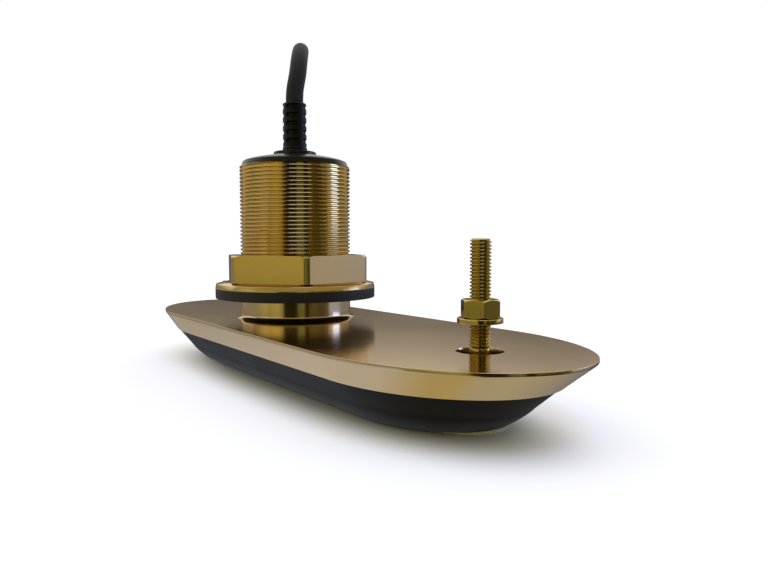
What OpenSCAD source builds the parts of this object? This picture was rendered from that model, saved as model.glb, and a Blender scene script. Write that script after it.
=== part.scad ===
// Through-hull sonar transducer: a long bronze plate with a threaded stem and an anti-rotation stud,
// a black cast acoustic window underneath, and a cable out of the top of the stem.
// Millimetres. The origin is under the middle of the plate, on the surface it rests on; +X runs along
// the plate towards the stud, +Z is up.

/* [Plate] */
// Length of the flat top from tip to tip
plate_len = 235; // [200:1:280]
// Width of the flat top
plate_w = 77.5; // [70:0.5:96]
// Length of each rounded end, measured along the plate
end_len = 58; // [45:1:70]
// Height of the flat top above the surface underneath
plate_top = 21.5; // [20:0.5:30]
// Height of the upright rim above the bevel
rim_h = 0.9; // [0.5:0.1:2]
// Height of the bronze edge, rim and bevel together
edge_h = 8.4; // [7:0.2:10]
// How far the bevel draws in along each side
bevel_side = 4.5; // [2:0.1:7]
// How far the bevel draws in at each tip
bevel_tip = 11.2; // [6:0.2:16]
// Depth of the tray under the plate that the casting fills
tray_d = 4.6; // [4:0.1:5]
// Width of the bronze left between the tray and the bevel
tray_wall = 5; // [3:0.5:8]

/* [Acoustic window] */
// How far the black casting sits in from the bevel all round
window_step = 0.4; // [0.2:0.1:1]
// How far the flat face lies in from the plate's sides
face_side = 16.3; // [12:0.1:19]
// How far the flat face lies in from the plate's tips
face_tip = 25; // [16:0.2:28]
// Shift of the flat face along the plate, away from the stud
face_shift = 1.6; // [0:0.1:4]
// Height of the turn where the flanks round into the flat face
turn_h = 2.8; // [1.5:0.1:4]
// How far the round of the turn stands out from the straight flank
turn_out = 1.1; // [0:0.1:2]

/* [Face frame] */
// How far the bronze frame stands out below the casting
frame_proud = 0.8; // [0.4:0.1:1.5]
// Depth of the frame set into the casting
frame_sunk = 1.4; // [0.8:0.1:2]
// Width of the frame's band
frame_w = 3; // [2:0.1:5]
// How far the frame draws in under the casting along each side
frame_in = 3; // [1:0.1:5]
// How far the frame stands out past the casting at each tip
frame_out = 0.9; // [0:0.1:1]

/* [Stem] */
// Distance of the stem's axis from the middle of the plate
stem_off = 23.5; // [10:0.5:40]
// Diameter of the stem over its thread
stem_d = 44.4; // [38:0.1:50]
// Height of the stem above the plate
stem_h = 61.8; // [50:0.2:80]
// Bore of the stem
stem_bore = 32; // [24:0.5:34]
// Radius of the fillet between stem and plate
fillet_r = 2; // [1:0.1:4]
// Chamfer at the top of the thread
stem_chamfer = 1; // [0.5:0.1:2]
// Depth of the stem's thread, which the hull nut grips
stem_thread = 0.9; // [0.5:0.1:1.5]
// Pitch of the stem's thread, drawn as rings
thread_pitch = 1.5; // [1:0.1:3]
// Least height of the plain land between the thread and its top chamfer
thread_land = 3.2; // [1.5:0.1:5]

/* [Hull nut, washer and gasket] */
// Clear height left for the hull between plate and gasket
grip_h = 8; // [5:0.2:14]
// Outside diameter of gasket and washer
gasket_d = 64.6; // [62:0.2:72]
// Thickness of the rubber gasket
gasket_t = 3.9; // [2:0.1:6]
// Thickness of the washer at its outer edge
washer_t = 1.9; // [1.2:0.1:3]
// Height of the washer's shallow cone
washer_cone = 0.7; // [0.2:0.1:1.5]
// Diameter of the flat on top of the cone, which carries the nut
washer_seat = 58; // [56:0.5:61]
// Clearance of the washer round the stem
washer_clear = 0.3; // [0.1:0.05:0.6]
// Hull nut across its flats
nut_af = 53; // [51:0.5:56]
// Height of the hull nut
nut_h = 10.7; // [8:0.1:14]
// Diameter that the nut's corners are turned down to
nut_turned = 60; // [56:0.2:62]
// Chamfer on the nut's corners, top and bottom
nut_chamfer = 1.1; // [0.5:0.1:2]
// Direction that one corner of the hull nut points in
nut_angle = -20.5; // [-60:0.5:60]

/* [Anti-rotation stud] */
// Distance of the stud's axis from the near tip of the plate
stud_inset = 33; // [30:0.5:40]
// Diameter of the stud over its thread
stud_d = 6; // [5:0.5:8]
// Depth of the stud's thread, which its nut grips
stud_thread = 0.5; // [0.3:0.05:0.8]
// Height of the stud above the plate
stud_h = 31.3; // [24:0.1:40]
// Depth of the stud in the plate
stud_in = 7; // [5:0.2:8]
// Diameter of the counterbore round the stud
sink_d = 13.6; // [10:0.1:18]
// Depth of the counterbore
sink_depth = 2.6; // [1.5:0.1:4]
// Height of the stud's washer above the plate
stud_grip = 7.9; // [6:0.1:12]
// Diameter of the stud's washer
stud_washer_d = 12.9; // [11:0.1:16]
// Thickness of the stud's washer
stud_washer_t = 1.4; // [1:0.1:2]
// Stud nut across its flats
stud_nut_af = 10; // [9:0.5:13]
// Height of the stud nut
stud_nut_h = 5.2; // [4:0.1:7]
// Direction that one corner of the stud nut points in
stud_nut_angle = -33; // [-60:0.5:60]

/* [Cap and strain relief] */
// Diameter of the cap's rim
cap_d = 41.8; // [36:0.2:44]
// Height of the cap's upright rim
cap_rim = 0.7; // [0.4:0.1:2]
// Height of the cap's dome up to the collar
cap_dome = 2.7; // [2:0.1:6]
// Depth of the cap's spigot in the stem
cap_spigot = 4; // [2:0.2:8]
// Diameter of the collar's foot
collar_d = 17.2; // [14:0.2:22]
// Diameter of the collar's top
collar_top = 12; // [10.5:0.1:14]
// Height of the collar
collar_h = 1.8; // [0.8:0.1:3]
// Diameter of the strain relief
relief_d = 9.4; // [8.6:0.1:12]
// Height of the strain relief
relief_h = 19.2; // [16:0.2:30]
// Rows of slots up the strain relief
slot_rows = 5; // [3:1:6]
// Slots in each row
slot_cols = 4; // [2:1:6]
// Height of one slot
slot_h = 1.4; // [0.6:0.1:1.6]
// Depth of one slot
slot_in = 0.8; // [0.4:0.1:1.1]
// Plain length at the foot of the strain relief
relief_foot = 3.3; // [2:0.1:5]
// Plain length above the top row of slots
relief_lip = 0.9; // [0.8:0.1:3]
// Direction of the ribs between the slots
rib_angle = 3; // [-45:1:45]

/* [Cable] */
// Diameter of the cable
cable_d = 7; // [6:0.1:8]
// Inner radius of the coil
coil_in = 25; // [22:0.5:30]
// Turns side by side in the coil's lower layer
coil_turns = 3; // [2:1:4]
// Width of the strap round the coil
tie_w = 12; // [8:0.5:20]
// Thickness of the strap
tie_t = 0.8; // [0.5:0.1:1.5]

/* [Plug] */
// Diameter of the plug's locking ring
ring_d = 25; // [22:0.2:28]
// Length of the locking ring
ring_len = 16; // [15:0.5:17]
// Length of the plug's moulded grip
grip_len = 30; // [24:0.5:40]
// Diameter of the moulded grip
grip_d = 19; // [16:0.2:21]
// Length of the grip's tapering tail
tail_len = 12; // [8:0.5:16]
// Number of contact pins round the insert
pin_count = 8; // [5:1:12]
// Diameter of one contact pin
pin_d = 1.2; // [0.8:0.1:1.6]

/* [Elements inside] */
// Thickness of the casting under the downward element
face_t = 3.2; // [2:0.1:5]
// Length of the downward element
down_l = 84; // [60:1:100]
// Width of the downward element
down_w = 22; // [16:0.5:24]
// Thickness of the downward element
down_t = 4.5; // [3:0.1:5]
// Thickness of the absorbing block behind it
backing_t = 3; // [2:0.1:4]
// Length of each side-looking bar
side_l = 104; // [80:1:120]
// Width of each side-looking bar
side_w = 6.5; // [4:0.1:7]
// Thickness of each side-looking bar
side_t = 3; // [2:0.1:4]
// Thickness of the absorbing strip behind each bar
side_backing_t = 2; // [1:0.1:3]
// Thickness of the casting over each side-looking bar
side_skin = 2.2; // [1.5:0.1:3]
// Length of the circuit board
board_l = 80; // [60:1:84]
// Width of the circuit board
board_w = 30; // [20:0.5:34]
// Thickness of the circuit board
board_t = 1.6; // [1:0.1:2]
// Clearance between the board's far end and the end of the tray
board_clear = 6; // [5:0.1:10]
// Diameter of the bundle of leads in the stem
leads_d = 5; // [3:0.1:5.5]
// Diameter of the temperature probe in the face
probe_d = 5; // [3:0.1:8]
// Length of the temperature probe
probe_l = 8; // [5:0.1:10]
// Distance of the probe from the middle of the plate
probe_x = 52; // [46:0.5:60]

/* [Hidden] */
half_w = plate_w / 2;
straight = plate_len / 2 - end_len;
edge_bottom = plate_top - edge_h;
bevel_half_w = half_w - bevel_side;
bevel_end = end_len - bevel_tip;
window_top_half_w = bevel_half_w - window_step;
window_top_end = bevel_end - window_step;
face_half_w = half_w - face_side;
face_end = end_len - face_tip;
face_z = frame_proud;
frame_half_w = face_half_w - frame_in;
frame_end = face_end + frame_out;
turn_z = face_z + turn_h;
turn_share = (turn_z - face_z) / (edge_bottom - face_z);
turn_half_w = face_half_w + (window_top_half_w - face_half_w) * turn_share + turn_out;
turn_end = face_end + (window_top_end - face_end) * turn_share + turn_out;
tray_top = edge_bottom + tray_d;
tray_half_w = bevel_half_w - tray_wall;
tray_end = 22;
tray_straight = straight - 12;
slice = 0.2;
overlap = 1;
oval_fn = 72;
stem_x = -stem_off;
stem_r = stem_d / 2;
bore_r = stem_bore / 2;
stem_top = plate_top + stem_h;
stem_core = stem_r - stem_thread;
gasket_z = plate_top + grip_h;
washer_z = gasket_z + gasket_t;
hull_nut_z = washer_z + washer_t + washer_cone;
thread_z = hull_nut_z + nut_h;
thread_turns = floor((stem_top - stem_chamfer - thread_land - thread_z) / thread_pitch);
thread_end = thread_z + thread_turns * thread_pitch;
stud_x = plate_len / 2 - stud_inset;
stud_r = stud_d / 2;
stud_core = stud_r - stud_thread;
stud_top = plate_top + stud_h;
stud_bottom = plate_top - stud_in;
stud_chamfer = 0.6;
stud_washer_z = plate_top + stud_grip;
stud_nut_z = stud_washer_z + stud_washer_t;
stud_nut_chamfer = 0.9;
stud_washer_clear = 0.2;
cap_top = stem_top + cap_rim + cap_dome;
relief_z = cap_top + collar_h;
relief_top = relief_z + relief_h;
relief_round = 0.8;
slot_pitch = (relief_h - relief_foot - relief_lip - slot_h) / (slot_rows - 1);
slot_w = relief_d * 0.5;
leads_r = leads_d / 2;
potting_top = stem_top - cap_spigot;
board_z = tray_top - 1.4 - board_t;
board_x = board_clear - tray_straight - tray_end;
down_x = -4;
down_z = face_z + face_t;
backing_z = down_z + down_t;
flank = [window_top_half_w - turn_half_w, edge_bottom - turn_z];
flank_angle = atan2(flank[1], flank[0]);
flank_mid = [turn_half_w + flank[0] / 2, turn_z + flank[1] / 2];
side_stack = side_skin + side_t + side_backing_t;
side_rise = (edge_bottom - flank_mid[1] - side_stack * cos(flank_angle)) / sin(flank_angle);

// Cable: route points as offsets from the top of the strain relief, then points down to the surface
cable_r = cable_d / 2;
cable_sides = 10;
floor_gap = 0.1;
floor_z = cable_r + floor_gap;
coil_z = tie_t;
lay_z = coil_z + cable_d + floor_z;
arch = [
    [0, 0, 0],
    [0, 0, 5],
    [-2, 1.5, 12],
    [-7, 4.5, 19.5],
    [-15, 9.5, 25.5],
    [-24, 14.5, 28],
    [-34, 19.5, 26],
    [-42, 24, 19],
    [-47.5, 26.5, 8],
    [-50.5, 28, -5],
    [-52, 29.5, -19]
];
drop = [
    [-76, 32.5, 75],
    [-76, 36, 60],
    [-76.5, 39, 46],
    [-79.5, 43, 33.5],
    [-84.5, 47.2, 23],
    [-91.5, 52.8, lay_z + 4.6],
    [-99.2, 62.2, lay_z + 1.2],
    [-108.8, 76.55, lay_z]
];
arch_way = [0.47, 0.88, 0];
up_way = [0, 0, 1];
cable_route = concat([for (p = arch) [stem_x + p[0], p[1], relief_top + p[2]]], drop);

// Coil and plug, lying behind the plate
coil_at = [-148.7, 53.5];
coil_out = coil_in + coil_turns * cable_d;
layer_step = cable_d;
plug_turn = -118;
plug_axis_z = ring_d / 2 + floor_gap;
plug_at = [-197, 100, plug_axis_z];
plug_lead = 5;
tail_away = coil_out + cable_r + floor_gap;
tail_start = [coil_at[0] + 0.47 * tail_away, coil_at[1] + 0.883 * tail_away, floor_z];
tail_route = [
    tail_start,
    [-141, 104.5, floor_z],
    [-157, 110.5, floor_z + 0.5],
    [-169, 113.7, floor_z + 2],
    [-180.5, 114.3, floor_z + 4.5],
    [-189, 111, plug_axis_z - 1],
    plug_at - plug_lead * [cos(plug_turn), sin(plug_turn), 0],
    plug_at
];
grip_z = tail_len;
ring_z = grip_z + grip_len;
ring_bore = grip_d - 3;
spigot_len = 14;
insert_d = ring_bore - 2.4;
insert_len = 9;
insert_sunk = 1.8;
pin_clear = 0.4;
pin_circle = insert_d * 0.62;
seal_t = 1;
tail_tip_d = cable_d + 1.6;
tie_angle = 240;
bronze = [0.72, 0.58, 0.34];
black = [0.07, 0.07, 0.07];
ceramic_tone = [0.86, 0.82, 0.74];
cork = [0.55, 0.4, 0.26];
$fn = 96;

function unit(v) = v / norm(v);

// One ring of the stem's thread in profile: root, flank and crest
function thread_ring(z) = [
    [stem_core, z],
    [stem_core, z + thread_pitch / 8],
    [stem_r, z + thread_pitch / 2],
    [stem_r, z + thread_pitch * 5 / 8]
];

function heading(p, i) = unit(p[min(i + 1, len(p) - 1)] - p[max(i - 1, 0)]);

function ring_at(centre, way, side_way, r, sides) =
    let (u = unit(cross(side_way, way)), v = cross(way, u))
    [for (j = [0 : sides - 1]) centre + r * (cos(360 * j / sides) * u + sin(360 * j / sides) * v)];

// Plan outline: a straight run with a half ellipse on each end
module oval(half_width, end_length, run) {
    square([2 * run, 2 * half_width], center = true);
    for (side = [-1, 1])
        translate([side * run, 0])
            scale([end_length / half_width, 1])
                circle(r = half_width, $fn = oval_fn);
}

module oval_slice(half_width, end_length, z, h, shift = 0) {
    translate([-shift, 0, z])
        linear_extrude(height = h)
            oval(half_width, end_length, straight);
}

// Round cord swept along route points
module swept_cord(route, side_way, r, sides) {
    count = len(route);
    rings = [for (i = [0 : count - 1]) ring_at(route[i], heading(route, i), side_way, r, sides)];
    points = [for (ring = rings) each ring];
    walls = [
        for (i = [0 : count - 2])
            for (j = [0 : sides - 1])
                [i * sides + j, (i + 1) * sides + j, (i + 1) * sides + (j + 1) % sides, i * sides + (j + 1) % sides]
    ];
    near_end = [for (j = [0 : sides - 1]) j];
    far_end = [for (j = [0 : sides - 1]) (count - 1) * sides + sides - 1 - j];
    polyhedron(points = points, faces = concat(walls, [near_end], [far_end]), convexity = 6);
}

// Hexagon prism with its corners turned down and chamfered, one corner along +X
module turned_hex(across_flats, h, turned_d, chamfer) {
    intersection() {
        cylinder(d = across_flats / cos(30), h = h, $fn = 6);
        rotate_extrude()
            polygon([
                [0, 0],
                [turned_d / 2 - chamfer, 0],
                [turned_d / 2, chamfer * 0.6],
                [turned_d / 2, h - chamfer * 0.6],
                [turned_d / 2 - chamfer, h],
                [0, h]
            ]);
    }
}

// Straight run of the plate's edge: rim on top, bevel drawing in below it, more at the tips than the sides
module plate_blank() {
    hull() {
        oval_slice(half_w, end_len, plate_top - rim_h, rim_h);
        oval_slice(bevel_half_w, bevel_end, edge_bottom, slice);
    }
}

module tray() {
    translate([0, 0, edge_bottom - overlap])
        linear_extrude(height = tray_d + overlap)
            oval(tray_half_w, tray_end, tray_straight);
}

module stem_solid() {
    rotate_extrude()
        difference() {
            polygon(concat(
                [
                    [0, tray_top],
                    [stem_r + fillet_r, tray_top],
                    [stem_r + fillet_r, plate_top],
                    [stem_r + fillet_r, plate_top + fillet_r],
                    [stem_r, plate_top + fillet_r],
                    [stem_r, hull_nut_z],
                    [stem_core, hull_nut_z]
                ],
                [for (turn = [0 : thread_turns - 1]) each thread_ring(thread_z + turn * thread_pitch)],
                [
                    [stem_core, thread_end],
                    [stem_core, thread_end + thread_pitch / 8],
                    [stem_r, thread_end + thread_pitch / 2],
                    [stem_r, stem_top - stem_chamfer],
                    [stem_r - stem_chamfer, stem_top],
                    [0, stem_top]
                ]
            ));
            translate([stem_r + fillet_r, plate_top + fillet_r])
                circle(r = fillet_r);
        }
}

// One bronze casting: bevelled plate, filleted stem, tray underneath, counterbored hole for the stud
module housing() {
    color(bronze)
        difference() {
            union() {
                plate_blank();
                translate([stem_x, 0, 0])
                    stem_solid();
            }
            tray();
            translate([stem_x, 0, edge_bottom - overlap])
                cylinder(r = bore_r, h = stem_top - edge_bottom + 2 * overlap);
            translate([stud_x, 0, stud_bottom])
                cylinder(r = stud_r, h = stud_in + overlap);
            translate([stud_x, 0, plate_top - sink_depth])
                cylinder(d = sink_d, h = sink_depth + overlap);
        }
}

module flank_place(side) {
    mirror([0, side < 0 ? 1 : 0, 0])
        translate([0, flank_mid[0], flank_mid[1]])
            rotate([flank_angle, 0, 0])
                children();
}

module side_bar(side) {
    color(ceramic_tone)
        flank_place(side)
            translate([-side_l / 2, side_rise - side_w, side_skin])
                cube([side_l, side_w, side_t]);
}

module side_backing(side) {
    color(cork)
        flank_place(side)
            translate([-side_l / 2, side_rise - side_w, side_skin + side_t])
                cube([side_l, side_w, side_backing_t]);
}

module down_element() {
    color(ceramic_tone)
        translate([down_x - down_l / 2, -down_w / 2, down_z])
            cube([down_l, down_w, down_t]);
}

module down_backing() {
    color(cork)
        translate([down_x - down_l / 2, -down_w / 2, backing_z])
            cube([down_l, down_w, backing_t]);
}

module circuit_board() {
    color([0.1, 0.32, 0.2])
        translate([board_x, -board_w / 2, board_z])
            cube([board_l, board_w, board_t]);
}

module temperature_probe() {
    color(bronze)
        translate([probe_x, 0, face_z])
            cylinder(d = probe_d, h = probe_l);
}

module inner_leads() {
    color([0.5, 0.12, 0.1])
        translate([stem_x, 0, board_z + board_t])
            cylinder(r = leads_r, h = relief_top - board_z - board_t);
}

module frame_band() {
    translate([-face_shift, 0, 0])
        linear_extrude(height = frame_proud + frame_sunk)
            difference() {
                oval(frame_half_w, frame_end, straight);
                oval(frame_half_w - frame_w, frame_end - frame_w, straight);
            }
}

module face_frame() {
    color(bronze)
        frame_band();
}

module window_flanks() {
    hull() {
        oval_slice(window_top_half_w, window_top_end, edge_bottom - slice, slice);
        oval_slice(turn_half_w, turn_end, turn_z, slice, face_shift);
        oval_slice(face_half_w, face_end, face_z, slice, face_shift);
    }
}

// Black casting poured round the elements; it fills the tray under the plate
module acoustic_window() {
    color(black)
        difference() {
            union() {
                window_flanks();
                translate([0, 0, edge_bottom - slice])
                    linear_extrude(height = tray_d + slice)
                        oval(tray_half_w, tray_end, tray_straight);
            }
            frame_band();
            down_element();
            down_backing();
            circuit_board();
            temperature_probe();
            inner_leads();
            for (side = [-1, 1]) {
                side_bar(side);
                side_backing(side);
            }
        }
}

module hull_nut() {
    color(bronze)
        translate([stem_x, 0, hull_nut_z])
            difference() {
                rotate([0, 0, nut_angle])
                    turned_hex(nut_af, nut_h, nut_turned, nut_chamfer);
                translate([0, 0, -overlap])
                    cylinder(r = stem_core, h = nut_h + 2 * overlap);
            }
}

module hull_washer() {
    color(bronze)
        translate([stem_x, 0, washer_z])
            rotate_extrude()
                polygon([
                    [stem_r + washer_clear, 0],
                    [gasket_d / 2, 0],
                    [gasket_d / 2, washer_t],
                    [washer_seat / 2, washer_t + washer_cone],
                    [stem_r + washer_clear, washer_t + washer_cone]
                ]);
}

module hull_gasket() {
    color(black)
        translate([stem_x, 0, gasket_z])
            rotate_extrude()
                translate([stem_r, 0])
                    square([gasket_d / 2 - stem_r, gasket_t]);
}

module stud() {
    color(bronze)
        translate([stud_x, 0, 0])
            rotate_extrude()
                polygon([
                    [0, stud_bottom],
                    [stud_r, stud_bottom],
                    [stud_r, stud_nut_z],
                    [stud_core, stud_nut_z],
                    [stud_core, stud_nut_z + stud_nut_h],
                    [stud_r, stud_nut_z + stud_nut_h],
                    [stud_r, stud_top - stud_chamfer],
                    [stud_r - stud_chamfer, stud_top],
                    [0, stud_top]
                ]);
}

module stud_nut() {
    color(bronze)
        translate([stud_x, 0, stud_nut_z])
            difference() {
                rotate([0, 0, stud_nut_angle])
                    turned_hex(stud_nut_af, stud_nut_h, stud_nut_af / cos(30), stud_nut_chamfer);
                translate([0, 0, -overlap])
                    cylinder(r = stud_core, h = stud_nut_h + 2 * overlap);
            }
}

module stud_washer() {
    color(bronze)
        translate([stud_x, 0, stud_washer_z])
            difference() {
                cylinder(d = stud_washer_d, h = stud_washer_t);
                translate([0, 0, -overlap])
                    cylinder(r = stud_r + stud_washer_clear, h = stud_washer_t + 2 * overlap);
            }
}

// Domed cap: the dome is a slice of a large sphere between the rim and the collar
module stem_cap() {
    dome_run = (cap_d - collar_d) / 2;
    color(black)
        translate([stem_x, 0, stem_top])
            rotate_extrude()
                polygon([
                    [leads_r, -cap_spigot],
                    [bore_r, -cap_spigot],
                    [bore_r, 0],
                    [cap_d / 2, 0],
                    [cap_d / 2, cap_rim],
                    [cap_d / 2 - dome_run * 0.05, cap_rim + cap_dome * 0.14],
                    [cap_d / 2 - dome_run * 0.22, cap_rim + cap_dome * 0.38],
                    [cap_d / 2 - dome_run * 0.5, cap_rim + cap_dome * 0.66],
                    [cap_d / 2 - dome_run * 0.8, cap_rim + cap_dome * 0.9],
                    [collar_d / 2, cap_rim + cap_dome],
                    [collar_d / 2, cap_rim + cap_dome + collar_h * 0.7],
                    [collar_d / 2 - 0.4, cap_rim + cap_dome + collar_h * 0.85],
                    [collar_top / 2 + 0.4, cap_rim + cap_dome + collar_h * 0.95],
                    [collar_top / 2, cap_rim + cap_dome + collar_h],
                    [leads_r, cap_rim + cap_dome + collar_h]
                ]);
}

// Moulded relief with rows of flexing slots between upright ribs
module strain_relief() {
    color(black)
        translate([stem_x, 0, relief_z])
            difference() {
                rotate_extrude()
                    polygon([
                        [leads_r, 0],
                        [relief_d / 2, 0],
                        [relief_d / 2, relief_h - relief_round],
                        [relief_d / 2 - relief_round * 0.3, relief_h - relief_round * 0.3],
                        [relief_d / 2 - relief_round, relief_h],
                        [leads_r, relief_h]
                    ]);
                for (row = [0 : slot_rows - 1])
                    for (col = [0 : slot_cols - 1])
                        rotate([0, 0, rib_angle + (col + 0.5) * 360 / slot_cols])
                            translate([relief_d / 2 - slot_in, -slot_w / 2, relief_foot + row * slot_pitch])
                                cube([slot_in + overlap, slot_w, slot_h]);
            }
}

module stem_potting() {
    color([0.12, 0.12, 0.13])
        translate([stem_x, 0, tray_top])
            difference() {
                cylinder(r = bore_r, h = potting_top - tray_top);
                translate([0, 0, -overlap])
                    cylinder(r = leads_r, h = potting_top - tray_top + 2 * overlap);
            }
}

module cable() {
    color(black)
        swept_cord(cable_route, arch_way, cable_r, cable_sides);
}

module cable_coil() {
    color(black)
        translate([coil_at[0], coil_at[1], coil_z])
            rotate_extrude()
                polygon([
                    [coil_in, 0],
                    [coil_out, 0],
                    [coil_out, cable_d],
                    [coil_out - cable_r, cable_d],
                    [coil_out - cable_r, cable_d + layer_step],
                    [coil_in + cable_r, cable_d + layer_step],
                    [coil_in + cable_r, cable_d],
                    [coil_in, cable_d]
                ]);
}

// Strap round one side of the coil
module coil_tie() {
    strap_in = coil_out - coil_in;
    strap_high = cable_d + layer_step;
    color([0.16, 0.16, 0.17])
        translate([coil_at[0], coil_at[1], 0])
            rotate([0, 0, tie_angle])
                difference() {
                    translate([coil_in - tie_t - 1, -tie_w / 2, 0])
                        cube([strap_in + 2 * tie_t + 2, tie_w, strap_high + 2 * tie_t]);
                    translate([0, 0, coil_z])
                        difference() {
                            cylinder(r = coil_out, h = strap_high);
                            translate([0, 0, -overlap])
                                cylinder(r = coil_in, h = strap_high + 2 * overlap);
                        }
                }
}

module cable_tail() {
    color(black)
        swept_cord(tail_route, up_way, cable_r, cable_sides);
}

module plug_place() {
    translate(plug_at)
        rotate([0, 0, plug_turn])
            rotate([0, 90, 0])
                children();
}

module plug_body() {
    color(black)
        plug_place()
            difference() {
                rotate_extrude()
                    polygon([
                        [0, 0],
                        [tail_tip_d / 2, 0],
                        [grip_d / 2 - 2, tail_len],
                        [grip_d / 2, tail_len + 2],
                        [grip_d / 2, ring_z],
                        [ring_bore / 2, ring_z],
                        [ring_bore / 2, ring_z + spigot_len],
                        [0, ring_z + spigot_len]
                    ]);
                translate([0, 0, ring_z + spigot_len - insert_sunk - insert_len])
                    cylinder(d = insert_d, h = insert_len + insert_sunk + overlap);
            }
}

module plug_ring() {
    color([0.2, 0.2, 0.21])
        plug_place()
            translate([0, 0, ring_z])
                difference() {
                    cylinder(d = ring_d, h = ring_len);
                    translate([0, 0, -overlap])
                        cylinder(d = ring_bore, h = ring_len + 2 * overlap);
                    translate([0, 0, spigot_len - seal_t * 2])
                        cylinder(d = ring_bore + 2 * seal_t, h = ring_len);
                }
}

module plug_insert() {
    color([0.3, 0.3, 0.31])
        plug_place()
            translate([0, 0, ring_z + spigot_len - insert_sunk - insert_len])
                difference() {
                    cylinder(d = insert_d, h = insert_len);
                    for (i = [0 : pin_count - 1])
                        rotate([0, 0, i * 360 / pin_count])
                            translate([pin_circle / 2, 0, insert_len / 2])
                                cylinder(d = pin_d, h = insert_len);
                }
}

module plug_pins() {
    color([0.85, 0.7, 0.35])
        plug_place()
            for (i = [0 : pin_count - 1])
                rotate([0, 0, i * 360 / pin_count])
                    translate([pin_circle / 2, 0, ring_z + spigot_len - insert_sunk - insert_len / 2])
                        cylinder(d = pin_d, h = insert_len / 2 + insert_sunk - pin_clear, $fn = 24);
}

module plug_seal() {
    color([0.05, 0.05, 0.05])
        plug_place()
            translate([0, 0, ring_z + spigot_len - seal_t * 2])
                rotate_extrude()
                    translate([ring_bore / 2, 0])
                        square([seal_t, seal_t]);
}

housing();
acoustic_window();
face_frame();
hull_nut();
hull_washer();
hull_gasket();
stud();
stud_nut();
stud_washer();
stem_cap();
strain_relief();
stem_potting();
inner_leads();
circuit_board();
down_element();
down_backing();
side_bar(1);  // side_bar_port
side_bar(-1);  // side_bar_starboard
side_backing(1);  // side_backing_port
side_backing(-1);  // side_backing_starboard
temperature_probe();
cable();
cable_coil();
coil_tie();
cable_tail();
plug_body();
plug_ring();
plug_insert();
plug_pins();
plug_seal();
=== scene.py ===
"""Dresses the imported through-hull sonar transducer: camera, cable, bronze, casting, boot, plug and studio."""

import logging
import math
from dataclasses import dataclass
from enum import Enum
from typing import Any, Callable, ClassVar, Sequence

import bmesh
import bpy
from mathutils import Matrix, Vector


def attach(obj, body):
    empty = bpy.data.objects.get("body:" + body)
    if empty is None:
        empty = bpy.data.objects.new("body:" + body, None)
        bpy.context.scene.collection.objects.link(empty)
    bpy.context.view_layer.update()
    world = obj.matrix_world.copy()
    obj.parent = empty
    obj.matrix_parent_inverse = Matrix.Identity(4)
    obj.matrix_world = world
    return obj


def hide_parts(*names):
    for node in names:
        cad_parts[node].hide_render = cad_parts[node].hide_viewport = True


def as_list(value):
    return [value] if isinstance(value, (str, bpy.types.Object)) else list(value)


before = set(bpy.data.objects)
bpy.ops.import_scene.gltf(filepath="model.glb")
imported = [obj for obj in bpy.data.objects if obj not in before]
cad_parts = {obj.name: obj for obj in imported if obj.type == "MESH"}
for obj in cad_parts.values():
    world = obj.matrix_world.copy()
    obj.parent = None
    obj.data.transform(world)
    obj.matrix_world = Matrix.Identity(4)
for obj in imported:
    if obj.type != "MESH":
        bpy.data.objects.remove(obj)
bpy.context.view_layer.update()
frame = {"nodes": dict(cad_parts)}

LOG = logging.getLogger("transducer")
MM = 0.001
ROOT = "root"

Span = tuple[float, float]
Place = tuple[float, float, float]
Colour = tuple[float, float, float]
Stops = Sequence[tuple[float, Colour]]
Profile = Sequence[Place]
Way = list[Vector]

# Sizes that more than one piece uses, in millimetres.
STEM_X = -23.5
STEM_R = 22.2
STEM_TOP = 81.95
STUD_X = 84.5
PLATE_BOTTOM = 13.1
COIL_AT = (-148.7, 53.5)


# Node trees


class Sock:
    """One output socket; arithmetic on it adds Math nodes to its tree."""

    def __init__(self, book: "NodeBook", socket: bpy.types.NodeSocket) -> None:
        """Wraps a socket of the book's tree."""
        self.book = book
        self.socket = socket

    def __add__(self, other: Any) -> "Sock":
        """Sum."""
        return self.book.math("ADD", self, other)

    def __radd__(self, other: Any) -> "Sock":
        """Sum, reflected."""
        return self.book.math("ADD", other, self)

    def __sub__(self, other: Any) -> "Sock":
        """Difference."""
        return self.book.math("SUBTRACT", self, other)

    def __rsub__(self, other: Any) -> "Sock":
        """Difference, reflected."""
        return self.book.math("SUBTRACT", other, self)

    def __mul__(self, other: Any) -> "Sock":
        """Product."""
        return self.book.math("MULTIPLY", self, other)

    def __rmul__(self, other: Any) -> "Sock":
        """Product, reflected."""
        return self.book.math("MULTIPLY", other, self)

    def __truediv__(self, other: Any) -> "Sock":
        """Quotient."""
        return self.book.math("DIVIDE", self, other)

    def __rtruediv__(self, other: Any) -> "Sock":
        """Quotient, reflected."""
        return self.book.math("DIVIDE", other, self)

    def __abs__(self) -> "Sock":
        """Size without sign."""
        return self.book.math("ABSOLUTE", self)


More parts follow.
